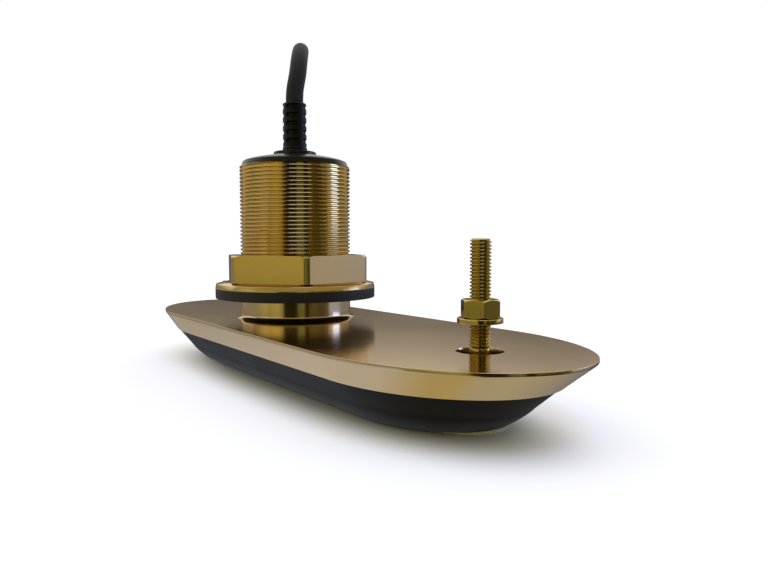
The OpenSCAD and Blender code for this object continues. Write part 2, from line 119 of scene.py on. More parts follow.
class NodeBook:
    """Adds nodes to one tree, for shaders and geometry alike."""

    def __init__(self, tree: bpy.types.NodeTree) -> None:
        """Works on the given tree."""
        self.tree = tree

    @staticmethod
    def find(sockets: Any, key: int | str) -> bpy.types.NodeSocket:
        """Finds a socket.

        Args:
            sockets: A node's inputs or outputs.
            key: Its index, identifier or name.

        Returns:
            The socket.
        """
        if isinstance(key, int):
            return sockets[key]
        for socket in sockets:
            if socket.identifier == key:
                return socket
        return next(s for s in sockets if s.name == key and s.enabled)

    def node(
        self,
        kind: str,
        settings: dict[str, Any] | None = None,
        inputs: dict[int | str, Any] | None = None,
        out: int | str = 0,
    ) -> Sock:
        """Adds one node.

        Args:
            kind: The node's type.
            settings: Its properties; "stops" and "blend" are those of a ramp.
            inputs: Values or links of its sockets.
            out: The output that is handed back.

        Returns:
            That output, or the node's first one.
        """
        made = self.tree.nodes.new(kind)
        for name, value in (settings or {}).items():
            if name == "stops":
                self._stops(made.color_ramp, value)
            elif name == "blend":
                made.color_ramp.interpolation = value
            else:
                setattr(made, name, value)
        for key, value in (inputs or {}).items():
            socket = self.find(made.inputs, key)
            if isinstance(value, Sock):
                self.tree.links.new(value.socket, socket)
            elif isinstance(value, tuple) and len(value) == 3 and socket.type == "RGBA":
                socket.default_value = (*value, 1.0)
            else:
                socket.default_value = value
        return Sock(self, self.find(made.outputs, out) if len(made.outputs) else None)

    @staticmethod
    def _stops(ramp: bpy.types.ColorRamp, stops: Stops) -> None:
        """Sets a ramp's stops.

        Args:
            ramp: The ramp.
            stops: Position and colour of each stop, in order.
        """
        while len(ramp.elements) > 1:
            ramp.elements.remove(ramp.elements[-1])
        ramp.elements[0].position = stops[0][0]
        ramp.elements[0].color = (*stops[0][1], 1.0)
        for position, colour in stops[1:]:
            ramp.elements.new(position).color = (*colour, 1.0)

    @classmethod
    def fresh(cls, owner: bpy.types.ID) -> "NodeBook":
        """Empties the tree of a material or of the surroundings.

        Args:
            owner: What the tree belongs to.

        Returns:
            The book of that tree.
        """
        owner.use_nodes = True
        owner.node_tree.nodes.clear()
        return cls(owner.node_tree)

    def other(self, sock: Sock, out: int | str) -> Sock:
        """Another output of the node that a socket belongs to."""
        return Sock(self, self.find(sock.socket.node.outputs, out))

    def math(self, operation: str, *values: Any) -> Sock:
        """One Math node on values or sockets."""
        return self.node("ShaderNodeMath", {"operation": operation}, dict(enumerate(values)))

    def hypot(self, first: Sock, second: Sock) -> Sock:
        """Length of the flat vector that two values make."""
        return self.math("SQRT", first * first + second * second)

    def clamp(self, value: Sock, low: Any, high: Any) -> Sock:
        """A value kept between low and high."""
        return self.math("MINIMUM", self.math("MAXIMUM", value, low), high)

    def smooth(self, value: Sock, low: Any, high: Any) -> Sock:
        """Smooth step of a value from 0 at low to 1 at high."""
        ends = {"Value": value, "From Min": low, "From Max": high}
        return self.node("ShaderNodeMapRange", {"interpolation_type": "SMOOTHSTEP"}, ends)

    def mix(self, share: Any, first: Any, second: Any) -> Sock:
        """Colour between first and second."""
        ends = {"Factor_Float": share, "A_Color": first, "B_Color": second}
        return self.node("ShaderNodeMix", {"data_type": "RGBA"}, ends, "Result_Color")

    def ramp(self, share: Sock, stops: Stops, blend: str = "LINEAR") -> Sock:
        """Colour of a ramp at a share of its length."""
        return self.node("ShaderNodeValToRGB", {"stops": stops, "blend": blend}, {"Fac": share}, "Color")

    def split(self, vector: Sock) -> tuple[Sock, Sock, Sock]:
        """The three parts of a vector."""
        first = self.node("ShaderNodeSeparateXYZ", None, {0: vector})
        return first, self.other(first, 1), self.other(first, 2)

    def join(self, x: Any, y: Any, z: Any) -> Sock:
        """A vector of three values."""
        return self.node("ShaderNodeCombineXYZ", None, {0: x, 1: y, 2: z})

    def noise(self, vector: Sock, scale: float, detail: float = 4.0, rough: float = 0.6) -> Sock:
        """Noise value at a vector."""
        sizes = {"Vector": vector, "Scale": scale, "Detail": detail, "Roughness": rough}
        return self.node("ShaderNodeTexNoise", None, sizes)

    def bump(self, height: Sock, strength: float, distance: float) -> Sock:
        """Normal of a surface that a height raises."""
        sizes = {"Strength": strength, "Distance": distance, "Height": height}
        return self.node("ShaderNodeBump", None, sizes)

    def sighted(self) -> Sock:
        """1 for rays straight from the camera or through clear matter, 0 for all others."""
        path = self.node("ShaderNodeLightPath", None, None, "Is Camera Ray")
        return self.math("MAXIMUM", path, self.other(path, "Is Transmission Ray"))

    def gather(self, *shapes: Sock) -> Sock:
        """Joins shapes into one geometry.

        Args:
            shapes: The shapes, in order.

        Returns:
            All of them as one.
        """
        joined = self.node("GeometryNodeJoinGeometry")
        for shape in shapes:
            self.tree.links.new(shape.socket, joined.socket.node.inputs[0])
        return joined


# Finishes


class Grain(Enum):
    """Which way the fine lines of a worked surface run."""

    LAPPED = "straight lines along the plate"
    TURNED = "rings about an upright axis"


class Finish:
    """Base of every finish: one material, made once."""

    name: str

    def build(self, book: NodeBook, place: Sock) -> dict[str, Any]:
        """Gives the shader's socket values at a place on the surface.

        Args:
            book: The material's tree.
            place: Object coordinates.

        Returns:
            Values and links of the shader's sockets.
        """
        raise NotImplementedError

    def material(self) -> bpy.types.Material:
        """Gives the finish as a Blender material, which the first call makes.

        Returns:
            The material.
        """
        made = bpy.data.materials.get(self.name)
        if made is None:
            made = bpy.data.materials.new(self.name)
            book = NodeBook.fresh(made)
            place = book.node("ShaderNodeTexCoord", None, None, "Object")
            shader = book.node("ShaderNodeBsdfPrincipled", None, self.build(book, place))
            book.node("ShaderNodeOutputMaterial", None, {"Surface": shader})
        return made


@dataclass(frozen=True)
class Bronze(Finish):
    """Polished bronze with the fine lines of its last cut."""

    name: str
    colour: Colour
    tarnish: Colour
    roughness: float
    grain: Grain
    axis: Span = (0.0, 0.0)
    edge: Colour = (1.0, 0.9, 0.76)
    line_scale: float = 900.0
    line_run: float = 0.02
    ring_run: float = 0.0012
    line_rough: float = 0.05
    depth: float = 0.05
    relief: float = 0.00002
    stain: float = 0.25
    cloud_scale: float = 38.0
    cloud_edge: Span = (0.45, 0.8)
    cloud_rough: float = 0.06
    speck_scale: float = 1400.0
    speck_edge: Span = (0.66, 0.8)
    speck_stain: float = 0.12
    speck_rough: float = 0.05

    def lines(self, book: NodeBook, place: Sock) -> Sock:
        """Draws noise out along the lines of the cut.

        Args:
            book: The material's tree.
            place: Object coordinates.

        Returns:
            The noise value.
        """
        x, y, z = book.split(place)
        if self.grain is Grain.LAPPED:
            return book.noise(book.join(x * self.line_run, y, z), self.line_scale)
        dx, dy = x - self.axis[0], y - self.axis[1]
        turn = book.math("ARCTAN2", dy, dx)
        return book.noise(book.join(book.hypot(dx, dy), z, turn * self.ring_run), self.line_scale)

    def build(self, book: NodeBook, place: Sock) -> dict[str, Any]:
        """Socket values of the bronze.

        Args:
            book: The material's tree.
            place: Object coordinates.

        Returns:
            Values and links of the shader's sockets.
        """
        lines = self.lines(book, place)
        cloud = book.noise(place, self.cloud_scale)
        specks = book.smooth(book.noise(place, self.speck_scale, 2.0, 0.5), *self.speck_edge)
        stained = book.smooth(cloud, *self.cloud_edge) * self.stain + specks * self.speck_stain
        rough = self.roughness + (lines - 0.5) * self.line_rough + (cloud - 0.5) * self.cloud_rough
        return {
            "Base Color": book.mix(stained, self.colour, self.tarnish),
            "Metallic": 1.0,
            "Roughness": rough + specks * self.speck_rough,
            "Specular Tint": self.edge,
            "Normal": book.bump(lines, self.depth, self.relief),
        }


@dataclass(frozen=True)
class PlateBronze(Bronze):
    """Bronze of the plate, with painted shade darkening the inside of the counterbore."""

    pit_axis: Span = (0.0, 0.0)
    pit_radius: float = 0.0069
    pit_soft: float = 0.0002
    pit_level: float = 0.0215
    pit_edge: Span = (0.0002, 0.0006)
    # Colour of the painted shade inside the counterbore, standing in for the shade in the hole.
    pit: Colour = (0.26, 0.17, 0.07)

    def build(self, book: NodeBook, place: Sock) -> dict[str, Any]:
        """Socket values of the bronze, with painted shade in the counterbore.

        Args:
            book: The material's tree.
            place: Object coordinates.

        Returns:
            Values and links of the shader's sockets.
        """
        values = super().build(book, place)
        x, y, z = book.split(place)
        radius = book.hypot(x - self.pit_axis[0], y - self.pit_axis[1])
        within = book.smooth(radius, self.pit_radius + self.pit_soft, self.pit_radius)
        below = book.smooth(self.pit_level - z, *self.pit_edge)
        # Painted shade: the inside of the counterbore is darkened.
        values["Base Color"] = book.mix(within * below, values["Base Color"], self.pit)
        return values


@dataclass(frozen=True)
class Moulding(Finish):
    """Black moulded or cast material with a fine skin."""

    name: str
    colour: Colour
    dust: Colour
    roughness: float
    skin_scale: float = 2600.0
    depth: float = 0.25
    specular: float = 0.5
    sheen_tint: Colour = (1.0, 1.0, 1.0)
    skin_rough: float = 0.08
    relief: float = 0.00004
    cloud_scale: float = 60.0
    cloud_rough: float = 0.12
    dust_edge: Span = (0.5, 0.85)
    dust_share: float = 0.5

    def build(self, book: NodeBook, place: Sock) -> dict[str, Any]:
        """Socket values of the moulding.

        Args:
            book: The material's tree.
            place: Object coordinates.

        Returns:
            Values and links of the shader's sockets.
        """
        skin = book.noise(place, self.skin_scale, 3.0)
        cloud = book.noise(place, self.cloud_scale)
        dusty = book.smooth(cloud, *self.dust_edge) * self.dust_share
        return {
            "Base Color": book.mix(dusty, self.colour, self.dust),
            "Roughness": self.roughness + (cloud - 0.5) * self.cloud_rough + (skin - 0.5) * self.skin_rough,
            "Specular IOR Level": self.specular,
            "Specular Tint": self.sheen_tint,
            "Normal": book.bump(skin, self.depth, self.relief),
        }


@dataclass(frozen=True)
class Plain(Finish):
    """Mottled finish of a piece inside the casting, or the pale painted reflection on the frame round its face.
    """

    name: str
    colour: Colour
    mottle: Colour
    roughness: float
    scale: float = 400.0
    metallic: float = 0.0
    spot_edge: Span = (0.35, 0.7)
    spot_rough: float = 0.15

    def build(self, book: NodeBook, place: Sock) -> dict[str, Any]:
        """Socket values of the mottled finish.

        Args:
            book: The material's tree.
            place: Object coordinates.

        Returns:
            Values and links of the shader's sockets.
        """
        spots = book.noise(place, self.scale)
        return {
            "Base Color": book.mix(book.smooth(spots, *self.spot_edge), self.colour, self.mottle),
            "Roughness": self.roughness + (spots - 0.5) * self.spot_rough,
            "Metallic": self.metallic,
        }


STEM_AXIS = (STEM_X * MM, 0.0)
STUD_AXIS = (STUD_X * MM, 0.0)
PLATE_BRONZE = PlateBronze(
    "plate_bronze", (0.6, 0.46, 0.275), (0.5, 0.37, 0.19), 0.13, Grain.LAPPED, depth=0.015, pit_axis=STUD_AXIS
)
STEM_BRONZE = Bronze("stem_bronze", (0.63, 0.455, 0.145), (0.48, 0.32, 0.09), 0.08, Grain.TURNED, STEM_AXIS)
TRIM_BRONZE = Bronze("trim_bronze", (0.6, 0.435, 0.2), (0.46, 0.31, 0.12), 0.13, Grain.TURNED, STEM_AXIS)
ROD_BRONZE = Bronze("rod_bronze", (0.44, 0.32, 0.07), (0.36, 0.25, 0.05), 0.1, Grain.TURNED, STUD_AXIS)
STUD_BRONZE = Bronze("stud_bronze", (0.56, 0.43, 0.15), (0.42, 0.3, 0.09), 0.1, Grain.TURNED, STUD_AXIS)
CONTACT_GOLD = Bronze("contact_gold", (0.78, 0.56, 0.2), (0.6, 0.42, 0.14), 0.2, Grain.LAPPED)
WINDOW_BLACK = Moulding(
    "window_urethane", (0.005, 0.0039, 0.0028), (0.009, 0.0072, 0.0052), 0.5,
    specular=0.06, sheen_tint=(1.0, 0.84, 0.66),
)
GASKET_BLACK = Moulding(
    "gasket_rubber", (0.02, 0.018, 0.014), (0.007, 0.007, 0.007), 0.55, skin_scale=1800.0, specular=0.3
)
CAP_BLACK = Moulding(
    "cap_plastic", (0.003, 0.003, 0.003), (0.006, 0.006, 0.006), 0.27,
    specular=0.36, sheen_tint=(1.0, 0.92, 0.76),
)
BOOT_BLACK = Moulding("boot_rubber", (0.004, 0.004, 0.004), (0.007, 0.007, 0.007), 0.42, specular=0.2)
CABLE_BLACK = Moulding("cable_jacket", (0.027, 0.027, 0.027), (0.036, 0.036, 0.036), 0.55, specular=0.12)
PLUG_BLACK = Moulding("plug_plastic", (0.006, 0.006, 0.0065), (0.01, 0.01, 0.01), 0.36)
STRAP_BLACK = Moulding("strap_pile", (0.01, 0.01, 0.011), (0.02, 0.02, 0.02), 0.85, 1500.0, 0.8)
INSERT_GREY = Moulding("insert_plastic", (0.06, 0.06, 0.062), (0.08, 0.08, 0.08), 0.45)
# The face frame's pale, nearly white colour is a painted reflection of the bright floor on its bronze.
FRAME_BRONZE_PAINTED_REFLECTION = Plain("frame_bronze", (0.9, 0.78, 0.56), (0.78, 0.65, 0.43), 0.35, 900.0, 0.1)
CERAMIC = Plain("ceramic", (0.7, 0.64, 0.52), (0.62, 0.56, 0.44), 0.5)
BACKING = Plain("backing_cork", (0.26, 0.14, 0.06), (0.12, 0.06, 0.025), 0.85, 900.0)
POTTING = Plain("potting_resin", (0.02, 0.02, 0.022), (0.03, 0.03, 0.03), 0.3)
BOARD = Plain("circuit_board_green", (0.012, 0.09, 0.03), (0.02, 0.12, 0.05), 0.4)
LEADS = Plain("lead_sleeve", (0.2, 0.02, 0.015), (0.14, 0.015, 0.012), 0.5)


# Mesh helpers


def rounded(points: Profile, steps: int = 4) -> list[Span]:
    """Rounds the corners of a closed profile.

    Args:
        points: Radius, height and corner radius of each corner, in millimetres.
        steps: Segments in each rounded corner.

    Returns:
        The profile's points, in millimetres.
    """
    made: list[Span] = []
    for i, (x, z, r) in enumerate(points):
        here = Vector((x, z))
        if r <= 0:
            made.append((x, z))
            continue
        before = Vector(points[i - 1][:2]) - here
        after = Vector(points[(i + 1) % len(points)][:2]) - here
        half = before.angle(after) / 2
        reach = min(r / math.tan(half), before.length * 0.49, after.length * 0.49)
        start, end = here + before.normalized() * reach, here + after.normalized() * reach
        for k in range(steps + 1):
            t = k / steps
            p = start * (1 - t) ** 2 + here * 2 * t * (1 - t) + end * t**2
            made.append((p.x, p.y))
    return made


def smooth_way(points: Sequence[Sequence[float]], step: float) -> Way:
    """A smooth curve through points.

    Args:
        points: The points that it passes, in millimetres.
        step: Distance between the points handed back.

    Returns:
        Points about that far apart along the curve.
    """
    knots = [Vector(p) for p in points]
    knots = [knots[0] * 2 - knots[1], *knots, knots[-1] * 2 - knots[-2]]
    made: Way = []
    for a, b, c, d in zip(knots, knots[1:], knots[2:], knots[3:]):
        count = max(1, round((c - b).length / step))
        t_ab, t_bc, t_cd = (max((q - p).length, 1e-6) ** 0.5 for p, q in ((a, b), (b, c), (c, d)))
        m1 = (c - b) + t_bc * ((b - a) / t_ab - (c - a) / (t_ab + t_bc))
        m2 = (c - b) + t_bc * ((d - c) / t_cd - (d - b) / (t_bc + t_cd))
        for k in range(count):
            t = k / count
            made.append(
                b * (2 * t**3 - 3 * t**2 + 1)
                + m1 * (t**3 - 2 * t**2 + t)
                + c * (3 * t**2 - 2 * t**3)
                + m2 * (t**3 - t**2)
            )
    made.append(knots[-2])
    return made


def put(made: bpy.types.Object) -> bpy.types.Object:
    """Puts a new object into the scene and hands it back."""
    bpy.context.scene.collection.objects.link(made)
    return made


def fill_mesh(mesh: bpy.types.Mesh, bm: bmesh.types.BMesh, sharp_deg: float) -> None:
    """Writes a bmesh into a mesh, smooth apart from its sharp edges.

    Args:
        mesh: The mesh.
        bm: What it is to hold, which is freed.
        sharp_deg: Edges sharper than this show as edges.
    """
    bmesh.ops.recalc_face_normals(bm, faces=bm.faces)
    for face in bm.faces:
        face.smooth = True
    bm.to_mesh(mesh)
    bm.free()
    mesh.set_sharp_from_angle(angle=math.radians(sharp_deg))


def new_object(name: str, bm: bmesh.types.BMesh, sharp_deg: float = 32.0) -> bpy.types.Object:
    """Makes an object of a bmesh that is in millimetres.

    Args:
        name: The piece's name.
        bm: Its mesh, which is freed.
        sharp_deg: Edges sharper than this show as edges.

    Returns:
        The object, at the origin, in metres.
    """
    mesh = bpy.data.meshes.new(name)
    bmesh.ops.scale(bm, vec=(MM, MM, MM), verts=bm.verts)
    fill_mesh(mesh, bm, sharp_deg)
    return put(bpy.data.objects.new(name, mesh))


def empty_piece(name: str) -> bpy.types.Object:
    """An object with no faces, for a tree that makes its own."""
    return put(bpy.data.objects.new(name, bpy.data.meshes.new(name)))


def bridge(bm: bmesh.types.BMesh, rings: Sequence[Sequence[Any]], closed: bool = False) -> None:
    """Joins rings of vertices, of one length each, with quads.

    Args:
        bm: The mesh.
        rings: The rings, in order.
        closed: Joins the last ring to the first one too.
    """
    pairs = list(zip(rings, rings[1:])) + ([(rings[-1], rings[0])] if closed else [])
    for low, high in pairs:
        count = len(low)
        for i in range(count):
            j = (i + 1) % count
            bm.faces.new((low[i], low[j], high[j], high[i]))


def circle(bm: bmesh.types.BMesh, x: float, y: float, r: float, z: float, around: int) -> list[Any]:
    """A ring of vertices about an upright axis.

    Args:
        bm: The mesh.
        x: Where the axis stands.
        y: Where the axis stands.
        r: The ring's radius.
        z: Its height.
        around: How many vertices it has.

    Returns:
        The vertices, counter-clockwise.
    """
    turns = [math.tau * i / around for i in range(around)]
    return [bm.verts.new((x + r * math.cos(a), y + r * math.sin(a), z)) for a in turns]


def lathe(
    name: str,
    profile: Sequence[Span],
    centre: Span = (0.0, 0.0),
    around: int = 144,
    sharp_deg: float = 32.0,
) -> bpy.types.Object:
    """Turns a closed profile about an upright axis.

    Args:
        name: The piece's name.
        profile: Radius and height of its points, in millimetres.
        centre: Where the axis stands.
        around: Segments round the axis.
        sharp_deg: Edges sharper than this show as edges.

    Returns:
        The turned piece.
    """
    bm = bmesh.new()
    bridge(bm, [circle(bm, *centre, r, z, around) for r, z in profile], closed=True)
    return new_object(name, bm, sharp_deg)


def settle(piece: bpy.types.Object) -> bpy.types.Object:
    """Turns a piece's modifiers into plain mesh.

    Args:
        piece: The object.

    Returns:
        The same object, with no modifier left.
    """
    bpy.context.view_layer.update()
    graph = bpy.context.evaluated_depsgraph_get()
    shown = piece.evaluated_get(graph)
    mesh = bpy.data.meshes.new_from_object(shown, preserve_all_data_layers=True, depsgraph=graph)
    piece.modifiers.clear()
    old, piece.data = piece.data, mesh
    bpy.data.meshes.remove(old)
    mesh.name = piece.name
    return piece


def close_ends(piece: bpy.types.Object, sharp_deg: float) -> bpy.types.Object:
    """Fills a piece's open ends and marks its edges.

    Args:
        piece: The object.
        sharp_deg: Edges sharper than this show as edges.

    Returns:
        The same object.
    """
    bm = bmesh.new()
    bm.from_mesh(piece.data)
    bmesh.ops.dissolve_degenerate(bm, dist=1e-7, edges=bm.edges)
    bmesh.ops.holes_fill(bm, edges=[e for e in bm.edges if e.is_boundary], sides=0)
    fill_mesh(piece.data, bm, sharp_deg)
    return piece


def paint(piece: bpy.types.Object, finish: Finish) -> None:
    """Gives a piece its finish and reports it.

    Args:
        piece: The object.
        finish: Its finish.
    """
    piece.data.materials.clear()
    piece.data.materials.append(finish.material())
    LOG.info("%s: %s", piece.name, finish.name)


def carry(nodes: dict[str, Finish]) -> list[bpy.types.Object]:
    """Gives CAD nodes that stay as they are their finish.

    Args:
        nodes: The finish of each node.

    Returns:
        The nodes' objects.
    """
    for name, finish in nodes.items():
        paint(frame["nodes"][name], finish)
    return [frame["nodes"][name] for name in nodes]


def dress(piece: bpy.types.Object, finish: Finish, slot: str, *nodes: str) -> bpy.types.Object:
    """Gives a piece its finish and its body, and hides the CAD nodes that it stands for.

    Args:
        piece: The finished piece.
        finish: Its finish.
        slot: Not used.
        nodes: The CAD nodes that it replaces.

    Returns:
        The piece.
    """
    paint(piece, finish)
    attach(piece, ROOT)
    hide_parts(*nodes)
    return piece


# Geometry nodes


class Rule:
    """A Geometry Nodes tree with named inputs, applied to a piece and turned into mesh."""

    title: ClassVar[str] = "rule"
    sizes: ClassVar[tuple[str, ...]] = ()
    counts: ClassVar[tuple[str, ...]] = ()

    def __init__(self) -> None:
        """Makes the tree with its sockets."""
        self.tree = bpy.data.node_groups.new(self.title, "GeometryNodeTree")
        self.book = NodeBook(self.tree)
        self.socket("Geometry", "Geometry", "OUTPUT")
        kinds = {"Geometry": "Geometry", "Finish": "Material"}
        kinds |= dict.fromkeys(self.sizes, "Float") | dict.fromkeys(self.counts, "Int")
        self.keys = {name: self.socket(name, kind) for name, kind in kinds.items()}
        self.entry = self.book.node("NodeGroupInput")
        shape = self.book.node("GeometryNodeRealizeInstances", None, {"Geometry": self.shape()})
        painted = {"Geometry": shape, "Material": self.get("Finish")}
        shape = self.book.node("GeometryNodeSetMaterial", None, painted)
        self.book.node("NodeGroupOutput", None, {0: shape})

    def socket(self, name: str, kind: str, side: str = "INPUT") -> str:
        """Adds a socket to the tree and gives its identifier."""
        face = self.tree.interface
        return face.new_socket(name, in_out=side, socket_type=f"NodeSocket{kind}").identifier

    def get(self, name: str) -> Sock:
        """An input of the tree."""
        return self.book.other(self.entry, self.keys[name])

    def shape(self) -> Sock:
        """Adds the tree's own nodes and gives its geometry."""
        raise NotImplementedError

    def apply(self, piece: bpy.types.Object, finish: Finish, **values: Any) -> bpy.types.Object:
        """Runs the tree on a piece.

        Args:
            piece: The object.
            finish: The finish that the tree sets.
            values: The tree's inputs, with _ for a blank; lengths are in metres.

        Returns:
            The piece as plain mesh.
        """
        modifier = piece.modifiers.new(self.title, "NODES")
        modifier.node_group = self.tree
        for name, value in values.items():
            modifier[self.keys[name.replace("_", " ")]] = value
        modifier[self.keys["Finish"]] = finish.material()
        return settle(piece)


class ThreadRule(Rule):
    """A threaded rod: one grid wound up so that its rows follow the helix."""

    title: ClassVar[str] = "screw thread"
    sizes: ClassVar[tuple[str, ...]] = (
        "Crest", "Depth", "Pitch", "Root Flat", "Crest Flat", "Bottom", "Top", "Chamfer", "Runout", "Axis",
    )
    counts: ClassVar[tuple[str, ...]] = ("Turns", "Around")
    # Share of a flank's run and of the thread's depth, from the root to the broken edge of the crest.
    flank: ClassVar[tuple[Span, ...]] = ((0.74, 0.91), (0.26, 0.09))
    rows_per_turn: ClassVar[int] = 2 * len(flank) + 2
    # Part of a turn that rounding may be out by, and the distance in metres at which points merge.
    slack: ClassVar[float] = 0.001
    seam: ClassVar[float] = 2e-6

    def stage(self, turn: Sock, number: int) -> Sock:
        """How much of one stretch of a turn is done, from 0 to 1."""
        return self.book.clamp(turn * float(self.rows_per_turn) - float(number), 0.0, 1.0)

    def section(self, turn: Sock) -> tuple[Sock, Sock]:
        """Follows one turn's section: root, flank, crest and flank.

        Args:
            turn: How much of the turn is done.

        Returns:
            The share of the pitch and of the depth that are reached there.
        """
        get = self.get
        run = (1.0 - get("Root Flat") - get("Crest Flat")) * 0.5
        stretches = [(get("Root Flat"), 0.0)]
        stretches += [(run * share, rise) for share, rise in self.flank]
        stretches += [(get("Crest Flat"), 0.0)]
        stretches += [(run * share, -rise) for share, rise in reversed(self.flank)]
        along, height = turn * 0.0, turn * 0.0
        for number, (width, rise) in enumerate(stretches):
            done = self.stage(turn, number)
            along, height = along + done * width, height + done * rise
        return along, height

    def shape(self) -> Sock:
        """Winds a grid up and gives it the section.

        Returns:
            The thread's surface, open at both ends.
        """
        book, get = self.book, self.get
        rows = get("Turns") * float(self.rows_per_turn) + 1.0
        sizes = {"Size X": 1.0, "Size Y": 1.0, "Vertices X": get("Around") + 1.0, "Vertices Y": rows}
        grid = book.node("GeometryNodeMeshGrid", None, sizes)
        x, y, _ = book.split(book.node("GeometryNodeInputPosition"))
        u, turn = x + 0.5, (y + 0.5) * get("Turns") + self.slack
        whole = book.math("FLOOR", turn)
        along, height = self.section(turn - whole - self.slack)
        z = get("Bottom") + get("Pitch") * (whole + along + u - 1.0)
        z = book.clamp(z, get("Bottom"), get("Top"))
        begun = book.math("MINIMUM", (z - get("Bottom")) / get("Runout"), 1.0)
        r = get("Crest") - get("Depth") * (1.0 - height * begun)
        r = book.math("MINIMUM", r, get("Crest") - get("Chamfer") + (get("Top") - z))
        angle = u * math.tau
        place = book.join(get("Axis") + r * book.math("COSINE", angle), r * book.math("SINE", angle), z)
        wound = book.node("GeometryNodeSetPosition", None, {"Geometry": grid, "Position": place})
        return book.node("GeometryNodeMergeByDistance", None, {"Geometry": wound, "Distance": self.seam})


class SlotRule(Rule):
    """Rows of flexing slots sunk into a turned boot, with lands that swell between them."""

    title: ClassVar[str] = "flexing slots"
    sizes: ClassVar[tuple[str, ...]] = (
        "Axis", "Foot", "Row Pitch", "First Rib", "Slot Height", "Slot Share", "Depth", "Swell",
    )
    counts: ClassVar[tuple[str, ...]] = ("Rows", "Columns")
    # Soft edge of a slot's sides and ends, as a share of a column and of a row.
    soft_side: ClassVar[float] = 0.035
    soft_end: ClassVar[float] = 0.05
    # Rows by which the swelling lands lie below the slots' middle and reach past half their number.
    land_drop: ClassVar[float] = 0.3
    land_reach: ClassVar[float] = 0.1

    def window(self, value: Sock, half: Any, soft: float) -> Sock:
        """1 inside a half width about nothing, 0 outside, with soft edges."""
        return self.book.smooth(abs(value) - half, soft, -soft)

    def shape(self) -> Sock:
        """Adds the sinking of the slots.

        Returns:
            The slotted piece.
        """
        book, get = self.book, self.get
        x, y, z = book.split(book.node("GeometryNodeInputPosition"))
        dx = x - get("Axis")
        angle = (book.math("ARCTAN2", y, dx) - get("First Rib")) / math.tau
        column = book.math("FRACT", (angle + 1.0) * get("Columns")) - 0.5
        row = (z - get("Foot")) / get("Row Pitch")
        whole = book.math("FLOOR", row)
        real = book.math("GREATER_THAN", whole, -0.5) * book.math("LESS_THAN", whole, get("Rows") - 0.5)
        half = get("Slot Height") / get("Row Pitch") * 0.5
        across = self.window(column, get("Slot Share") * 0.5, self.soft_side)
        up = self.window(row - whole - half, half, self.soft_end) * real
        middle = get("Rows") * 0.5
        near = book.math("LESS_THAN", abs(row - middle + self.land_drop), middle + self.land_reach)
        swell = get("Swell") * across * (1.0 - up) * near
        sink = swell - get("Depth") * across * up
        radius = book.hypot(dx, y)
        offset = book.join(dx / radius * sink, y / radius * sink, 0.0)
        return book.node("GeometryNodeSetPosition", None, {"Geometry": get("Geometry"), "Offset": offset})


class RibRule(Rule):
    """Equal ribs set round an axis that stands upright at the origin."""

    title: ClassVar[str] = "ribs round an axis"
    sizes: ClassVar[tuple[str, ...]] = ("Radius", "Width", "Length", "Foot", "Round")
    counts: ClassVar[tuple[str, ...]] = ("Count",)
    sides: ClassVar[int] = 8
    cap_rings: ClassVar[int] = 5

    def moved(self, shape: Sock, up: Any, **values: Any) -> Sock:
        """A shape moved up its axis, with more values of the Transform node."""
        place = {"Geometry": shape, "Translation": self.book.join(0.0, 0.0, up)}
        return self.book.node("GeometryNodeTransform", None, place | values)

    def shape(self) -> Sock:
        """Adds the ribs to the piece.

        Returns:
            The piece with its ribs.
        """
        book, get = self.book, self.get
        ring = book.node("GeometryNodeMeshCircle", None, {"Vertices": get("Count"), "Radius": get("Radius")})
        thick = get("Width") * 0.5
        half = get("Length") * 0.5
        bar = book.node(
            "GeometryNodeMeshCylinder",
            None,
            {"Vertices": self.sides, "Side Segments": 1, "Radius": thick, "Depth": get("Length")},
        )
        ball = {"Segments": self.sides, "Rings": self.cap_rings, "Radius": thick}
        cap = book.node("GeometryNodeMeshUVSphere", None, ball)
        rib = book.gather(bar, *(self.moved(cap, half * side) for side in (1.0, -1.0)))
        flat = self.moved(rib, get("Foot") + half, Scale=book.join(get("Round"), 1.0, 1.0))
        x, y, _ = book.split(book.node("GeometryNodeInputPosition"))
        turned = book.join(0.0, 0.0, book.math("ARCTAN2", y, x))
        spread = {"Points": ring, "Instance": flat, "Rotation": turned}
        return book.gather(get("Geometry"), book.node("GeometryNodeInstanceOnPoints", None, spread))


# Pieces


@dataclass
class Shot:
    """The camera: where it stands and how it looks, found from the object's own proportions."""

    place: Place = (215.59, -127.13, 51.62)
    yaw: float = -0.9479
    pitch: float = 0.0694
    focal_px: float = 651.77
    wide_px: float = 768.0
    sensor: float = 36.0
    clip: Span = (0.005, 50.0)

    def build(self) -> None:
        """Makes the camera and gives it to the scene."""
        level = math.cos(self.pitch)
        ahead = Vector((math.sin(self.yaw) * level, math.cos(self.yaw) * level, -math.sin(self.pitch)))
        right = Vector((math.cos(self.yaw), -math.sin(self.yaw), 0.0))
        turn = Matrix((right, right.cross(ahead), -ahead)).transposed()
        data = bpy.data.cameras.new("camera")
        data.sensor_fit = "HORIZONTAL"
        data.sensor_width = self.sensor
        data.lens = self.focal_px * self.sensor / self.wide_px
        data.clip_start, data.clip_end = self.clip
        camera = put(bpy.data.objects.new("camera", data))
        camera.matrix_world = Matrix.Translation(Vector(self.place) * MM) @ turn.to_4x4()
        bpy.context.scene.camera = camera


